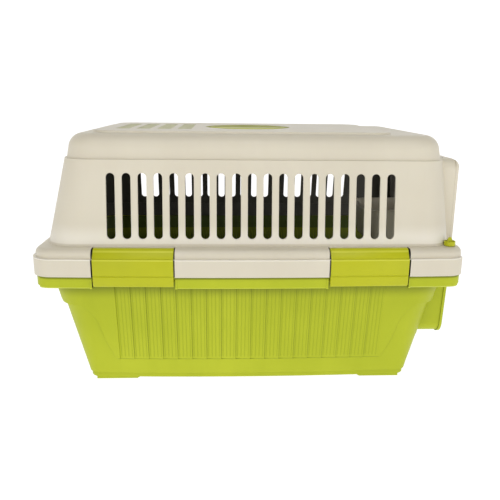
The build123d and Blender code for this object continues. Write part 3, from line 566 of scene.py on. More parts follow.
@dataclass(frozen=True)
class CoatedWire:
    """Wire with a smooth pale coat, slightly lumpy, chipped here and there."""

    name: str = "wire_coat"
    colour: Colour = (0.62, 0.62, 0.6)
    dull: Colour = (0.5, 0.5, 0.49)
    chip: Colour = (0.2, 0.19, 0.18)
    chips: Marks = Marks(420.0, 4.0, (0.72, 0.76))
    tone_scale: float = 45.0
    lump_scale: float = 300.0
    lump_depth: float = 0.0002

    def build(self) -> bpy.types.Material:
        """Makes the material."""
        bench = MaterialBench(self.name)
        chips = self.chips.mask(bench)
        tone = bench.noise(self.tone_scale)
        base = bench.blend(tone * 0.3, self.colour, self.dull)
        return bench.finish(
            Base_Color=bench.blend(chips * 0.7, base, self.chip),
            Roughness=0.28 + 0.3 * chips + 0.1 * tone,
            Metallic=chips * 0.6 + 0.25,
            Normal=bench.relief(bench.noise(self.lump_scale), self.lump_depth, 0.4),
        )


@dataclass(frozen=True)
class PlatedSteel:
    """Zinc-plated rod with drawing lines along its length."""

    name: str = "plated_rod"
    colour: Colour = (0.56, 0.56, 0.55)
    dull: Colour = (0.38, 0.37, 0.35)
    spots: Marks = Marks(70.0, 4.0, (0.5, 0.7))
    line_scale: float = 900.0
    line_stretch: Triple = (1.0, 1.0, 0.02)
    line_depth: float = 0.00006

    def build(self) -> bpy.types.Material:
        """Makes the material."""
        bench = MaterialBench(self.name)
        lines = bench.noise(self.line_scale, 3.0, self.line_stretch)
        spots = self.spots.mask(bench)
        return bench.finish(
            Base_Color=bench.blend(spots * 0.6, self.colour, self.dull),
            Metallic=1.0,
            Roughness=0.24 + 0.16 * spots + 0.12 * lines,
            Normal=bench.relief(lines, self.line_depth, 0.5),
        )


@dataclass(frozen=True)
class BackdropPaper:
    """Plain pale studio paper."""

    name: str = "studio_paper"
    colour: Colour = (0.2, 0.2, 0.2)
    fleck: Colour = (0.18, 0.18, 0.18)
    fleck_scale: float = 3.0
    glow: float = 0.97

    def build(self) -> bpy.types.Material:
        """Makes the material."""
        bench = MaterialBench(self.name)
        return bench.finish(
            Base_Color=bench.blend(bench.noise(self.fleck_scale) * 0.06, self.colour, self.fleck),
            Roughness=0.9,
            Emission_Color=(1.0, 1.0, 1.0),
            Emission_Strength=self.glow,
        )


@dataclass(frozen=True)
class Finishes:
    """Every finish of the carrier."""

    cream: bpy.types.Material
    tub: bpy.types.Material
    latch: bpy.types.Material
    wire: bpy.types.Material
    steel: bpy.types.Material

    @classmethod
    def mix(cls) -> "Finishes":
        """Builds the materials."""
        # pale colour for the painted light band on the wall foot and the painted rim highlight
        pale = (0.93, 0.89, 0.79)
        # painted light: a paler band on the outer wall just above the ledge, where the ledge shades it
        wall_foot_light = PaintedLightArea(pale, 0.6, across=(0.16, 0.165), rise=(0.2215, 0.2235), fall=(0.252, 0.226))
        # painted shade with green reflected light on the side walls of the roof vents
        vent_shade = PaintedLightArea(
            (0.5, 0.56, 0.12), 0.6, across=(0.084, 0.082), rise=(0.366, 0.3675), along=(0.0585, 0.058),
            middle=-0.1445, upright=(0.7, 0.5),
        )
        # painted shade with green reflected light from the handle on the handle recess's walls
        recess = PaintedLightArea(
            (0.38, 0.42, 0.03), 0.65, across=(0.083, 0.082), rise=(0.349, 0.352), along=(0.079, 0.078),
            upright=(0.6, 0.4),
        )
        cream = MouldedPlastic(
            "cream_moulding", (0.715, 0.66, 0.53), (0.66, 0.6, 0.475), (0.78, 0.74, 0.63), pale,
            # painted light and shade: a pale band over the wall foot, shade with green reflected light in
            # the vents and handle recess, shade inside the cabin and in the latch gaps
            under_painted_light=(wall_foot_light,), over_painted_light=(vent_shade, recess), cabin_shade_share=0.93, gap_shade_share=0.95,
            # painted highlight along the rim's top edge, in the pale colour
            highlight_levels=((0.2042, 0.2064),),
        )
        tub = PleatedPlastic(
            "lime_moulding", (0.5, 0.555, 0.018), (0.39, 0.45, 0.006), (0.56, 0.62, 0.1), (0.62, 0.68, 0.05),
            # painted shade: dark green on the tub's inner faces and near-black in the latch gaps
            gloss=0.3, translucence=0.0, cabin_shade=(0.02, 0.05, 0.01), cabin_shade_share=0.85, gap_shade_share=0.95,
            # painted highlight line round the flange, in the fourth colour above
            highlight_levels=((0.1635, 0.1654),),
        )
        latch = MouldedPlastic(
            "lime_latch", (0.53, 0.54, 0.005), (0.44, 0.46, 0.003), (0.58, 0.6, 0.08), (0.72, 0.74, 0.07),
            # painted highlights along the latch's crease and upper bevel, in the fourth colour above
            roughness=0.36, gloss=0.35, translucence=0.0, highlight_levels=((0.2038, 0.2062), (0.2142, 0.2172)),
        )
        return cls(cream.build(), tub.build(), latch.build(), CoatedWire().build(), PlatedSteel().build())


def only(kind: type, geometry: Sequence) -> list:
    """The elements of one kind among a bmesh operator's results."""
    return [item for item in geometry if isinstance(item, kind)]


def turns(edge: Edge, angle: float) -> bool:
    """Whether an edge's two faces turn by more than an angle in degrees."""
    return len(edge.link_faces) == 2 and edge.calc_face_angle(0.0) > radians(angle)


class Workpiece:
    """A bmesh on its way to becoming a named piece."""

    def __init__(self) -> None:
        """Starts with an empty mesh."""
        self.mesh = bmesh.new()
        self.normals: list[Vector] = []

    def copy_node(self, node: bpy.types.Object, merge: float = 2e-6) -> "Workpiece":
        """Takes over a frame node's surface, with its doubled points merged.

        Args:
            node: the frame's object.
            merge: distance below which points are one.

        Returns:
            This workpiece.
        """
        self.mesh.from_mesh(node.data)
        source = self.mesh.faces.layers.int.new("source")
        for number, face in enumerate(self.mesh.faces):
            face[source] = number
        bmesh.ops.remove_doubles(self.mesh, verts=self.mesh.verts, dist=merge)
        return self

    def keep_normals(self, node: bpy.types.Object) -> "Workpiece":
        """Notes which corner normals of a node belong to each face, for piece() to restore.

        Args:
            node: the frame's object that copy_node() took over.

        Returns:
            This workpiece.
        """
        self.normals = [corner.vector.copy() for corner in node.data.corner_normals]
        return self

    def flatten(self, turn: float = 1.5) -> "Workpiece":
        """Joins faces that lie in one plane, within a turn in degrees."""
        mesh = self.mesh
        bmesh.ops.dissolve_limit(
            mesh, angle_limit=radians(turn), verts=mesh.verts, edges=mesh.edges, delimit={"NORMAL"}
        )
        return self

    def bevel(self, edges: Sequence[Edge], width: float, segments: int, clamp: bool = False) -> dict:
        """Rounds edges off.

        Args:
            edges: the edges.
            width: the bevel's width in metres.
            segments: faces across it.
            clamp: whether bevels stop where they meet.

        Returns:
            What the operator made.
        """
        return bmesh.ops.bevel(
            self.mesh, geom=list(edges), offset=width, offset_type="OFFSET", segments=segments, profile=0.5,
            affect="EDGES", material=-1, clamp_overlap=clamp,
        )

    def soften(self, width: float, angle: float = 35.0, segments: int = 2) -> "Workpiece":
        """Rounds the edges that turn sharply.

        Args:
            width: the bevel's width in metres.
            angle: turn in degrees above which an edge is rounded.
            segments: faces across it.

        Returns:
            This workpiece.
        """
        self.flatten()
        self.bevel([edge for edge in self.mesh.edges if turns(edge, angle)], width, segments, True)
        return self

    def rod(self, start: Vector, end: Vector, radius: float, dome: float, sides: int) -> "Workpiece":
        """Adds a round rod with domed ends.

        Args:
            start: centre of one end.
            end: centre of the other.
            radius: the rod's radius.
            dome: width of the ends' rounding, as a share of the radius.
            sides: faces round the rod.

        Returns:
            This workpiece.
        """
        run = end - start
        made = bmesh.ops.create_cone(
            self.mesh, cap_ends=True, segments=sides, radius1=radius, radius2=radius, depth=run.length
        )
        rims = {edge for vert in made["verts"] for edge in vert.link_edges if turns(edge, 60.0)}
        rounded = self.bevel(rims, radius * dome, 3)
        points = set(rounded["verts"]) | {vert for vert in made["verts"] if vert.is_valid}
        turn = run.to_track_quat("Z", "Y").to_matrix().to_4x4()
        place = Matrix.Translation((start + end) / 2)
        bmesh.ops.transform(self.mesh, matrix=place @ turn, verts=list(points))
        return self

    def nugget(self, centre: Vector, size: Vector) -> "Workpiece":
        """Adds a small rounded blob, such as a weld.

        Args:
            centre: its centre.
            size: its half extents.

        Returns:
            This workpiece.
        """
        place = Matrix.Translation(centre) @ Matrix.Diagonal((*size, 1.0))
        bmesh.ops.create_icosphere(self.mesh, subdivisions=2, radius=1.0, matrix=place)
        return self

    def block(self, low: Vector, high: Vector, round_off: float) -> "Workpiece":
        """Adds a box with rounded edges.

        Args:
            low: lowest corner.
            high: highest corner.
            round_off: the rounding in metres.

        Returns:
            This workpiece.
        """
        place = Matrix.Translation((low + high) / 2) @ Matrix.Diagonal((*(high - low), 1.0))
        made = bmesh.ops.create_cube(self.mesh, size=1.0, matrix=place)
        self.bevel({edge for vert in made["verts"] for edge in vert.link_edges}, round_off, 2)
        return self

    def piece(self, name: str, finish: bpy.types.Material, body: str, slot: Slot,
              replaces: Sequence[str] = (), smooth: float = 40.0) -> None:
        """Turns the mesh into a piece of the carrier.

        Args:
            name: the piece's name.
            finish: its material.
            body: the body that it rides on.
            slot: the record's slot; not used.
            replaces: nodes of the frame that it stands for.
            smooth: turn in degrees above which shading stays sharp.
        """
        data = bpy.data.meshes.new(name)
        self.mesh.to_mesh(data)
        self.mesh.free()
        if "custom_normal" in data.attributes:
            data.attributes.remove(data.attributes["custom_normal"])
        data.polygons.foreach_set("use_smooth", [True] * len(data.polygons))
        data.set_sharp_from_angle(angle=radians(smooth))
        if self.normals:
            source = data.attributes["source"].data
            kept = [self.normals[3 * source[face.index].value + corner]
                    for face in data.polygons for corner in range(3)]
            data.normals_split_custom_set(kept)
        data.materials.append(finish)
        made = bpy.data.objects.new(name, data)
        bpy.context.scene.collection.objects.link(made)
        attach(made, body)
        if replaces:
            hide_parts(*replaces)
        LOG.info("%s: %d faces on %s", name, len(data.polygons), body)


@dataclass
class MouldedShells:
    """The pleated tub and the slotted upper shell."""

    nodes: dict
    finishes: Finishes
    recess_half: tuple[float, float, float] = (0.0745, 0.0605, 0.3485)
    recess_stretch: float = 1.3
    skirt_levels: tuple[float, float] = (0.1665, 0.1705)
    skirt_drop: float = 0.0035
    lean: float = 0.09
    lean_level: float = 0.08
    lean_low: float = 0.014
    lean_high: float = 0.15
    lean_end: float = 0.184
    lean_from: float = 0.225
    lean_to: float = 0.25
    skirt_inside: float = 0.29
    surround_half: float = 0.1415
    surround_foot: float = 0.068
    lip_back: float = 0.2975
    lip_foot: float = 0.1809
    lip_sides: tuple[float, float] = (0.1385, 0.1382)
    lip_top: tuple[float, float] = (0.3373, 0.3371)

    def widen_recess(self, work: Workpiece) -> None:
        """Draws the handle's roof recess and its stop post out across the crate."""
        half_length, half_width, floor = self.recess_half
        for vert in work.mesh.verts:
            along, across, up = vert.co
            if abs(along) < half_length and abs(across) < half_width and up > floor:
                vert.co.y = across * self.recess_stretch

    def lower_lip(self, work: Workpiece) -> None:
        """Brings the lip round the upper surround's front almost flush with its sides."""
        for vert in work.mesh.verts:
            along, across, up = vert.co
            if along > self.lip_back and up > self.lip_foot:
                if abs(across) > self.lip_sides[0]:
                    vert.co.y = self.lip_sides[1] if across > 0 else -self.lip_sides[1]
                if up > self.lip_top[0]:
                    vert.co.z = self.lip_top[1]

    def drop_skirt(self, work: Workpiece) -> None:
        """Draws the lower edge of the flange's skirt further down."""
        low, high = self.skirt_levels
        for vert in work.mesh.verts:
            if low < vert.co.z < high:
                vert.co.z -= self.skirt_drop

    def lean_ends(self, work: Workpiece) -> None:
        """Tips the tub's two end walls about a level, clear of the door surround."""
        for vert in work.mesh.verts:
            along, across, up = vert.co
            if abs(along) > self.skirt_inside or (
                along > 0 and abs(across) < self.surround_half and up > self.surround_foot
            ):
                continue
            share = min(max((abs(along) - self.lean_from) / (self.lean_to - self.lean_from), 0.0), 1.0)
            fade = min(max((self.lean_end - up) / (self.lean_end - self.lean_high), 0.0), 1.0)
            shift = self.lean * (min(max(up, self.lean_low), self.lean_high) - self.lean_level)
            vert.co.x += (shift if along > 0 else -shift) * share * fade

    def build(self) -> None:
        """Makes both shells from the frame's surfaces, shaded smooth between their edges."""
        shell, tub = self.nodes["upper_shell"], self.nodes["lower_tub"]
        upper = Workpiece().copy_node(shell).keep_normals(shell)
        self.widen_recess(upper)
        self.lower_lip(upper)
        upper.piece("shell_moulding", self.finishes.cream, "crate", Slot.CREAM, ["upper_shell"], 32.0)
        lower = Workpiece().copy_node(tub).keep_normals(tub)
        self.drop_skirt(lower)
        self.lean_ends(lower)
        lower.piece("tub_moulding", self.finishes.tub, "crate", Slot.GREEN, ["lower_tub"], 32.0)


@dataclass
class SideLatches:
    """Four bevelled latches that hook over the ledge."""

    finishes: Finishes
    reach: float = 0.017
    thickness: float = 0.003
    width: float = 0.1099
    centre: float = 0.163
    rim_half_width: float = 0.211
    rim_half_length: float = 0.304
    bow: float = 0.007
    top: float = 0.219
    ridge: float = 0.206
    foot: float = 0.1669
    pivot: tuple[float, float] = (-0.008, 0.174)
    knuckle: float = 0.0036
    peg: float = 0.002
    peg_end: float = 0.05965
    groove: float = 0.1822
    groove_half: float = 0.0011
    groove_depth: float = 0.0008
    groove_flat: float = 0.3
    crest: Outline = ((0.0106, 0.0), (0.0103, -0.0001))
    brow: Outline = ((0.0024, 0.0018), (0.0021, 0.0009), (0.0005, 0.0003), (0.0, -0.0006))
    toe: Outline = ((0.0004, 0.0026), (0.0028, 0.0), (0.0045, 0.0003))
    back: Outline = ((0.0042, 0.1765), (0.003, 0.1785), (0.003, 0.2075))
    hook_root: float = 0.0115
    end_edge: float = 0.0007
    web_inset: float = 0.001
    web_levels: tuple[float, float] = (0.0006, 0.0071)
    web_front: float = -0.0036
    web_edge: float = 0.0005

    def outline(self) -> list[tuple[float, float]]:
        """Section of a latch, as outward distances and heights, run round from the hook's tip."""
        top, under = self.top, self.top - self.thickness
        deep, half = self.groove_depth, self.groove_half
        points = [(-self.reach, top)]
        for corner, level in ((self.crest, top), (self.brow, self.ridge)):
            points += [(-inset, level + rise) for inset, rise in corner]
        for inset, rise in ((0.0, 1.0), (deep, self.groove_flat), (deep, -self.groove_flat), (0.0, -1.0)):
            points.append((-inset, self.groove + rise * half))
        points += [(-inset, self.foot + rise) for inset, rise in self.toe]
        points += [(-inset, level) for inset, level in self.back]
        return points + [(-self.hook_root, under), (-self.reach, under)]

    def frame_at(self, side: Side, along: float) -> Matrix:
        """Axes across the rim at a latch: outwards, along the rim and up.

        Args:
            side: which long side.
            along: X of the latch's middle.

        Returns:
            The placement.
        """
        radius = (self.rim_half_length ** 2 + self.bow ** 2) / (2 * self.bow)
        run = (radius ** 2 - along ** 2) ** 0.5
        outward = Vector((along / radius, side.value * run / radius, 0.0)).normalized()
        origin = Vector((along, side.value * (self.rim_half_width - radius + run), 0.0))
        tangent = Axis.UP.value.cross(outward)
        placed = Matrix((outward, tangent, Axis.UP.value)).transposed().to_4x4()
        placed.translation = origin
        return placed

    def build_one(self, name: str, side: Side, along: float) -> None:
        """Makes one latch, with its knuckle and pegs.

        Args:
            name: the node that it replaces.
            side: which long side.
            along: X of its middle.
        """
        work = Workpiece()
        half = self.width / 2
        mesh = work.mesh
        section = mesh.faces.new([mesh.verts.new((out, -half, up)) for out, up in self.outline()])
        grown = bmesh.ops.extrude_face_region(mesh, geom=[section])["geom"]
        bmesh.ops.translate(mesh, verts=only(Vert, grown), vec=Axis.ACROSS.value * self.width)
        bmesh.ops.recalc_face_normals(mesh, faces=mesh.faces)
        ends = [edge for edge in mesh.edges if turns(edge, 80.0)
                and abs(edge.verts[0].co.y - edge.verts[1].co.y) < TINY]
        work.bevel(ends, self.end_edge, 2, True)
        level = Vector((self.pivot[0], 0.0, self.pivot[1]))
        run = Axis.ACROSS.value * half
        work.rod(level - run, level + run, self.knuckle, 0.15, 28)
        run = Axis.ACROSS.value * self.peg_end
        work.rod(level - run, level + run, self.peg, 0.4, 20)
        wide = half - self.web_inset
        low, high = (self.foot + rise for rise in self.web_levels)
        work.block(Vector((self.pivot[0], -wide, low)), Vector((self.web_front, wide, high)), self.web_edge)
        bmesh.ops.transform(mesh, matrix=self.frame_at(side, along), verts=mesh.verts)
        bmesh.ops.recalc_face_normals(mesh, faces=mesh.faces)
        work.piece(name + "_cover", self.finishes.latch, name, Slot.LATCH, [name])

    def build(self) -> None:
        """Makes the four latches."""
        for side, word in ((Side.NEAR, "near"), (Side.FAR, "far")):
            self.build_one(f"latch_{word}_rear", side, -self.centre)
            self.build_one(f"latch_{word}_front", side, self.centre)


@dataclass
class WireDoor:
    """Wire grille with welds, hinge rod, guides and bolt housing."""

    nodes: dict
    finishes: Finishes
    plane: float = 0.292
    half_width: float = 0.1235
    bottom: float = 0.0785
    top: float = 0.3275
    corner: float = 0.012
    frame_radius: float = 0.0025
    upright_radius: float = 0.0015
    cross_radius: float = 0.002
    upright_pitch: float = 0.025
    uprights: int = 9
    levels: Sequence[float] = (0.139, 0.203, 0.262)
    upright_weld: Vector = field(default_factory=lambda: Vector((0.0009, 0.0019, 0.0021)))
    cross_weld: Vector = field(default_factory=lambda: Vector((0.0021, 0.0013, 0.0026)))
    rod_across: float = 0.1285
    rod_radius: float = 0.0025
    rod_ends: tuple[float, float] = (0.066, 0.34)
    tack: Vector = field(default_factory=lambda: Vector((0.0016, 0.001, 0.007)))
    tack_shares: Sequence[float] = (0.12, 0.37, 0.63, 0.88)

    def upright_places(self) -> list[float]:
        """Y of each upright wire."""
        first = -(self.uprights - 1) / 2 * self.upright_pitch
        return [first + number * self.upright_pitch for number in range(self.uprights)]

    def frame_loop(self, work: Workpiece) -> None:
        """Sweeps the frame wire round its four bends.

        Args:
            work: the workpiece to add it to.
        """
        mesh = work.mesh
        wide, tall = self.half_width - self.corner, (self.top - self.bottom) / 2 - self.corner
        here = Vector((self.plane, -wide, self.bottom))
        turn = Axis.ACROSS.value.to_track_quat("Z", "Y").to_matrix().to_4x4()
        place = Matrix.Translation(here) @ turn
        ring = bmesh.ops.create_circle(mesh, segments=20, radius=self.frame_radius, matrix=place)
        edges = list({edge for vert in ring["verts"] for edge in vert.link_edges})
        heading = Axis.ACROSS.value.copy()
        inward = Axis.UP.value.copy()
        for run in (2 * wide, 2 * tall, 2 * wide, 2 * tall):
            grown = bmesh.ops.extrude_edge_only(mesh, edges=edges)["geom"]
            verts = only(Vert, grown)
            edges = [edge for edge in only(Edge, grown) if all(vert in verts for vert in edge.verts)]
            bmesh.ops.translate(mesh, verts=verts, vec=heading * run)
            centre = here + heading * run + inward * self.corner
            spun = bmesh.ops.spin(
                mesh, geom=edges, cent=centre, axis=Axis.ALONG.value, angle=pi / 2, steps=6
            )
            edges = only(Edge, spun["geom_last"])
            here = centre + heading * self.corner
            heading, inward = inward, -heading
        bmesh.ops.remove_doubles(mesh, verts=mesh.verts, dist=1e-5)
        bmesh.ops.recalc_face_normals(mesh, faces=mesh.faces)

    def wirework(self) -> None:
        """Makes the frame, the uprights and the cross wires with a weld at each crossing."""
        work = Workpiece()
        self.frame_loop(work)
        front = self.plane + self.frame_radius + self.upright_radius
        back = front - self.upright_radius - self.cross_radius
        for across in self.upright_places():
            ends = Vector((front, across, self.bottom)), Vector((front, across, self.top))
            work.rod(*ends, self.upright_radius, 0.6, 16)
            for level in (self.bottom, self.top, *self.levels):
                work.nugget(Vector((front - self.upright_radius, across, level)), self.upright_weld)
        inner = self.half_width - self.frame_radius
        for level in self.levels:
            work.rod(Vector((back, -inner, level)), Vector((back, inner, level)), self.cross_radius, 0.3, 18)
            for side in Side:
                work.nugget(Vector((back, side.value * inner, level)), self.cross_weld)
        work.piece(
            "door_wirework", self.finishes.wire, "door", Slot.WIRE,
            ["door_frame_wire", "door_upright_wires", "door_cross_wires"],
        )

    def hinge(self) -> None:
        """Makes the hinge rod and the tacks that hold it to the frame wire."""
        work = Workpiece()
        low, high = (Vector((self.plane, self.rod_across, level)) for level in self.rod_ends)
        work.rod(low, high, self.rod_radius, 0.45, 24)
        work.piece("door_hinge_pin", self.finishes.steel, "door", Slot.STEEL, ["door_hinge_rod"])
        tacks = Workpiece()
        for share in self.tack_shares:
            level = self.bottom + share * (self.top - self.bottom)
            tacks.nugget(Vector((self.plane, self.rod_across - self.frame_radius, level)), self.tack)
        tacks.piece("door_hinge_tacks", self.finishes.wire, "door", Slot.WIRE, smooth=32.0)

    def fittings(self) -> None:
        """Softens the guides and the bolt housing."""
        Workpiece().copy_node(self.nodes["door_bolt_guides"]).soften(0.0006).piece(
            "door_guide_blocks", self.finishes.wire, "door", Slot.WIRE, ["door_bolt_guides"]
        )
        Workpiece().copy_node(self.nodes["door_bolt_housing"]).soften(0.0008).piece(
            "door_bolt_case", self.finishes.latch, "door", Slot.GREEN, ["door_bolt_housing"]
        )

    def build(self) -> None:
        """Makes the whole door."""
        self.wirework()
        self.hinge()
        self.fittings()


@dataclass
class DoorBolt:
    """One sliding bolt with its ridged grip."""

    finishes: Finishes
    body: str
    word: str
    grip: float
    free_end: float
    place: tuple[float, float] = (0.285, -0.11)
    radius: float = 0.0025
    grip_front: float = 0.303
    grip_back: float = 0.281
    grip_half: tuple[float, float] = (0.006, 0.005)
    grip_edge: float = 0.0016
    ridges: int = 4
    ridge_pitch: float = 0.0021
    ridge_half: float = 0.0005
    ridge_inset: float = 0.001
    ridge_proud: float = 0.0008
    ridge_root: float = 0.002
    ridge_edge: float = 0.0004

    def build(self) -> None:
        """Makes the rod and the grip."""
        along, across = self.place
        ends = Vector((along, across, self.grip)), Vector((along, across, self.free_end))
        rod = Workpiece().rod(*ends, self.radius, 0.5, 24)
        replaced = [f"bolt_rod_{self.word}"]
        rod.piece(f"bolt_pin_{self.word}", self.finishes.steel, self.body, Slot.STEEL, replaced, 32.0)
        wide, tall = self.grip_half
        knob = Workpiece().block(
            Vector((self.grip_back, across - wide, self.grip - tall)),
            Vector((self.grip_front - self.ridge_proud, across + wide, self.grip + tall)), self.grip_edge,
        )
        wide -= self.ridge_inset
        for number in range(self.ridges):
            level = self.grip + (number - (self.ridges - 1) / 2) * self.ridge_pitch
            low = Vector((self.grip_front - self.ridge_root, across - wide, level - self.ridge_half))
            high = Vector((self.grip_front, across + wide, level + self.ridge_half))
            knob.block(low, high, self.ridge_edge)
        replaced = [f"bolt_grip_{self.word}"]
        knob.piece(f"bolt_knob_{self.word}", self.finishes.latch, self.body, Slot.GREEN, replaced, 50.0)


@dataclass
class LooseMouldings:
    """Carrying handle, hung bowl and corner locks."""

    nodes: dict
    finishes: Finishes
    handle_stretch: float = 1.3
    handle_half: float = 0.0635
    handle_reach: float = 0.046
    handle_inner: float = 0.0501
    grip_edge: float = 0.009
    palm_share: float = 0.3
    crown: Outline = ((0.0009, 0.0034), (0.0008, 0.0024))
    crown_margin: float = 0.0001
    lock_place: tuple[float, float] = (0.282, 0.1805)
    cup: tuple[float, float] = (0.0079, 0.0066)
    cup_levels: tuple[float, float] = (0.2196, 0.2262)
    cup_edge: float = 0.0006
    cup_dip: float = 0.0002

    def handle(self) -> None:
        """Makes the handle, drawn out across the crate and crowned on top."""
        work = Workpiece().copy_node(self.nodes["carry_handle"])
        radius = (self.handle_half ** 2 + self.handle_reach ** 2) / (2 * self.handle_reach)
        for vert in work.mesh.verts:
            along, across = vert.co.x, vert.co.y
            edge = radius - self.handle_reach - max(radius ** 2 - along ** 2, 0.0) ** 0.5
            if abs(along) < self.handle_inner and edge + self.grip_edge < across < 0.0:
                across *= self.palm_share
            vert.co.y = across * self.handle_stretch
        work.flatten()
        top = max(vert.co.z for vert in work.mesh.verts)
        for inset, rise in self.crown:
            low = top - self.crown_margin
            faces = [face for face in work.mesh.faces if face.calc_center_median().z > low]
            faces = [face for face in faces if face.normal.z > 0.9]
            bmesh.ops.inset_region(work.mesh, faces=faces, thickness=inset, depth=0.0, use_even_offset=True)
            raised = list({vert for face in faces for vert in face.verts})
            bmesh.ops.translate(work.mesh, verts=raised, vec=Axis.UP.value * rise)
            top += rise
        work.soften(0.0007, 30.0)
        work.piece("handle_bail", self.finishes.latch, "handle", Slot.GREEN, ["carry_handle"], 50.0)

    def lock(self, word: str, side: Side) -> None:
        """Makes a corner lock's knob with its raised cup.

        Args:
            word: which of the two.
            side: the long side that it is on.
        """
        node = f"corner_lock_{word}"
        work = Workpiece().copy_node(self.nodes[node]).soften(0.0004, 40.0)
        along, across = self.lock_place
        outer, inner = self.cup
        low, high = self.cup_levels
        centre = Vector((along, side.value * across, 0.0))
        edge = self.cup_edge
        ring = [(outer, low), (outer, high - edge), (outer - edge, high)]
        ring += [(inner, high - self.cup_dip), (inner, low)]
        corners = [work.mesh.verts.new(centre + Vector((out, 0.0, up))) for out, up in ring]
        section = corners + [work.mesh.edges.new(pair) for pair in zip(corners, corners[1:] + corners[:1])]
        bmesh.ops.spin(
            work.mesh, geom=section, cent=centre, axis=Axis.UP.value, angle=2 * pi, steps=28, use_merge=True
        )
        bmesh.ops.recalc_face_normals(work.mesh, faces=work.mesh.faces)
        work.piece(f"lock_knob_{word}", self.finishes.latch, node, Slot.GREEN, [node])

    def build(self) -> None:
        """Softens the frame's forms and dresses them."""
        self.handle()
        Workpiece().copy_node(self.nodes["food_bowl"]).soften(0.0006).piece(
            "bowl_moulding", self.finishes.cream, "bowl", Slot.CREAM, ["food_bowl"], 35.0
        )
        self.lock("near", Side.NEAR)
        self.lock("far", Side.FAR)


@dataclass(frozen=True)
class Softbox:
    """Area light: where it hangs, what it faces, its two sides, its power in watts and its colour."""

    name: str
    place: Triple
    aim: Triple
    size: tuple[float, float]
    power: float
    tint: Colour = (1.0, 1.0, 1.0)

    def build(self) -> None:
        """Hangs the light."""
        data = bpy.data.lights.new(self.name, "AREA")
        data.shape = "RECTANGLE"
        data.size, data.size_y = self.size
        data.energy = self.power
        data.color = self.tint
        made = bpy.data.objects.new(self.name, data)
        made.location = self.place
        heading = Vector(self.aim) - Vector(self.place)
        made.rotation_euler = heading.to_track_quat("-Z", "Y").to_euler()
        bpy.context.scene.collection.objects.link(made)


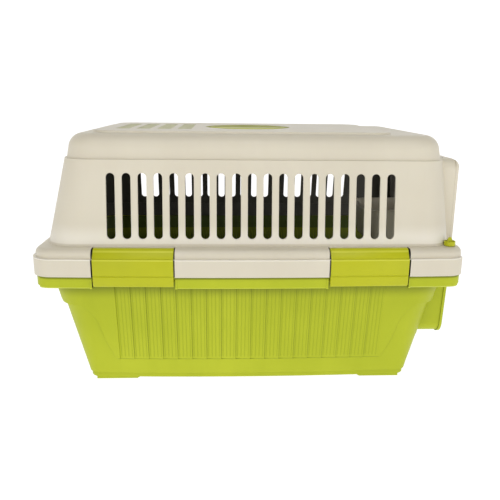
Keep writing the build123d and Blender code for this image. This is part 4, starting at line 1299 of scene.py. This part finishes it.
@dataclass
class Studio:
    """Camera at the photograph's place, soft lights and a paper sweep."""

    camera_place: Vector = field(default_factory=lambda: Vector((-0.040457, -0.983491, 0.419771)))
    forward: Vector = field(default_factory=lambda: Vector((0.0457157, 0.9673127, -0.2494320)))
    roll: float = radians(0.635)
    focal_pixels: float = 590.0
    frame_pixels: float = 500.0
    sensor: float = 36.0
    sky: tuple[float, float, float, float] = (0.17, 0.36, 1.0, 0.34)
    paper_level: float = -0.0005
    paper_half: float = 6.0
    paper_front: float = -5.0
    paper_back: float = 3.0
    paper_curve: float = 1.5
    paper_wall: float = 4.0
    lights: Sequence[Softbox] = (
        Softbox("top_softbox", (0.0, -1.2, 2.0), (0.0, 0.0, 0.2), (1.5, 0.9), 10.0, (1.0, 0.99, 0.97)),
        Softbox("key_softbox", (-0.9, -2.3, 0.9), (0.0, 0.0, 0.15), (1.5, 1.0), 4.2),
        Softbox("fill_softbox", (1.4, -2.0, 0.6), (0.1, 0.0, 0.15), (1.2, 0.9), 3.0),
    )

    def camera(self) -> None:
        """Sets the camera from its fitted place, heading and focal length."""
        data = bpy.data.cameras.new("photo_camera")
        data.sensor_width = self.sensor
        data.lens = self.focal_pixels / self.frame_pixels * self.sensor
        data.clip_start, data.clip_end = 0.01, 60.0
        right = self.forward.cross(Axis.UP.value).normalized()
        over = right.cross(self.forward).normalized()
        turned = Matrix.Rotation(-self.roll, 3, self.forward)
        right, over = turned @ right, turned @ over
        placed = Matrix((right, over, -self.forward)).transposed().to_4x4()
        placed.translation = self.camera_place
        made = bpy.data.objects.new("photo_camera", data)
        made.matrix_world = placed
        bpy.context.scene.collection.objects.link(made)
        bpy.context.scene.camera = made

    def sweep(self) -> None:
        """Adds the floor with its back curved up into a wall."""
        mesh = bmesh.new()
        sides = (-self.paper_half, self.paper_half)
        ends = [mesh.verts.new((side, self.paper_front, self.paper_level)) for side in sides]
        grown = bmesh.ops.extrude_edge_only(mesh, edges=[mesh.edges.new(ends)])["geom"]
        run = Axis.ACROSS.value * (self.paper_back - self.paper_front)
        bmesh.ops.translate(mesh, verts=only(Vert, grown), vec=run)
        centre = (0.0, self.paper_back, self.paper_curve)
        spun = bmesh.ops.spin(
            mesh, geom=only(Edge, grown), cent=centre, axis=Axis.ALONG.value, angle=pi / 2, steps=16
        )
        grown = bmesh.ops.extrude_edge_only(mesh, edges=only(Edge, spun["geom_last"]))["geom"]
        bmesh.ops.translate(mesh, verts=only(Vert, grown), vec=Axis.UP.value * self.paper_wall)
        data = bpy.data.meshes.new("studio_sweep")
        mesh.to_mesh(data)
        mesh.free()
        data.polygons.foreach_set("use_smooth", [True] * len(data.polygons))
        data.materials.append(BackdropPaper().build())
        made = bpy.data.objects.new("studio_sweep", data)
        bpy.context.scene.collection.objects.link(made)

    def world(self) -> None:
        """Sets a pale sky, brightest at the horizon."""
        world = bpy.data.worlds.new("studio_air")
        world.use_nodes = True
        tree = world.node_tree
        background = tree.nodes["Background"]
        background.inputs["Color"].default_value = (1.0, 1.0, 1.0, 1.0)
        heading = tree.nodes.new("ShaderNodeTexCoord")
        height = tree.nodes.new("ShaderNodeSeparateXYZ")
        fade = tree.nodes.new("ShaderNodeMapRange")
        fade.interpolation_type = "SMOOTHSTEP"
        low, high, bright, dim = self.sky
        for name, value in (("From Min", low), ("From Max", high), ("To Min", bright), ("To Max", dim)):
            fade.inputs[name].default_value = value
        tree.links.new(heading.outputs["Generated"], height.inputs[0])
        tree.links.new(height.outputs["Z"], fade.inputs["Value"])
        tree.links.new(fade.outputs[0], background.inputs["Strength"])
        bpy.context.scene.world = world
        bpy.context.scene.view_settings.view_transform = "Standard"

    def build(self) -> None:
        """Sets the whole studio."""
        self.camera()
        self.sweep()
        self.world()
        for light in self.lights:
            light.build()


def main() -> None:
    """Builds every group of pieces in order."""
    logging.basicConfig(level=logging.INFO, format="%(name)s: %(message)s")
    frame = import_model()
    finishes = Finishes.mix()
    nodes = frame["nodes"]
    MouldedShells(nodes, finishes).build()
    SideLatches(finishes).build()
    WireDoor(nodes, finishes).build()
    DoorBolt(finishes, "bolt_upper", "upper", 0.214, 0.329).build()
    DoorBolt(finishes, "bolt_lower", "lower", 0.192, 0.077).build()
    LooseMouldings(nodes, finishes).build()
    Studio().build()


if __name__ == "__main__":
    main()
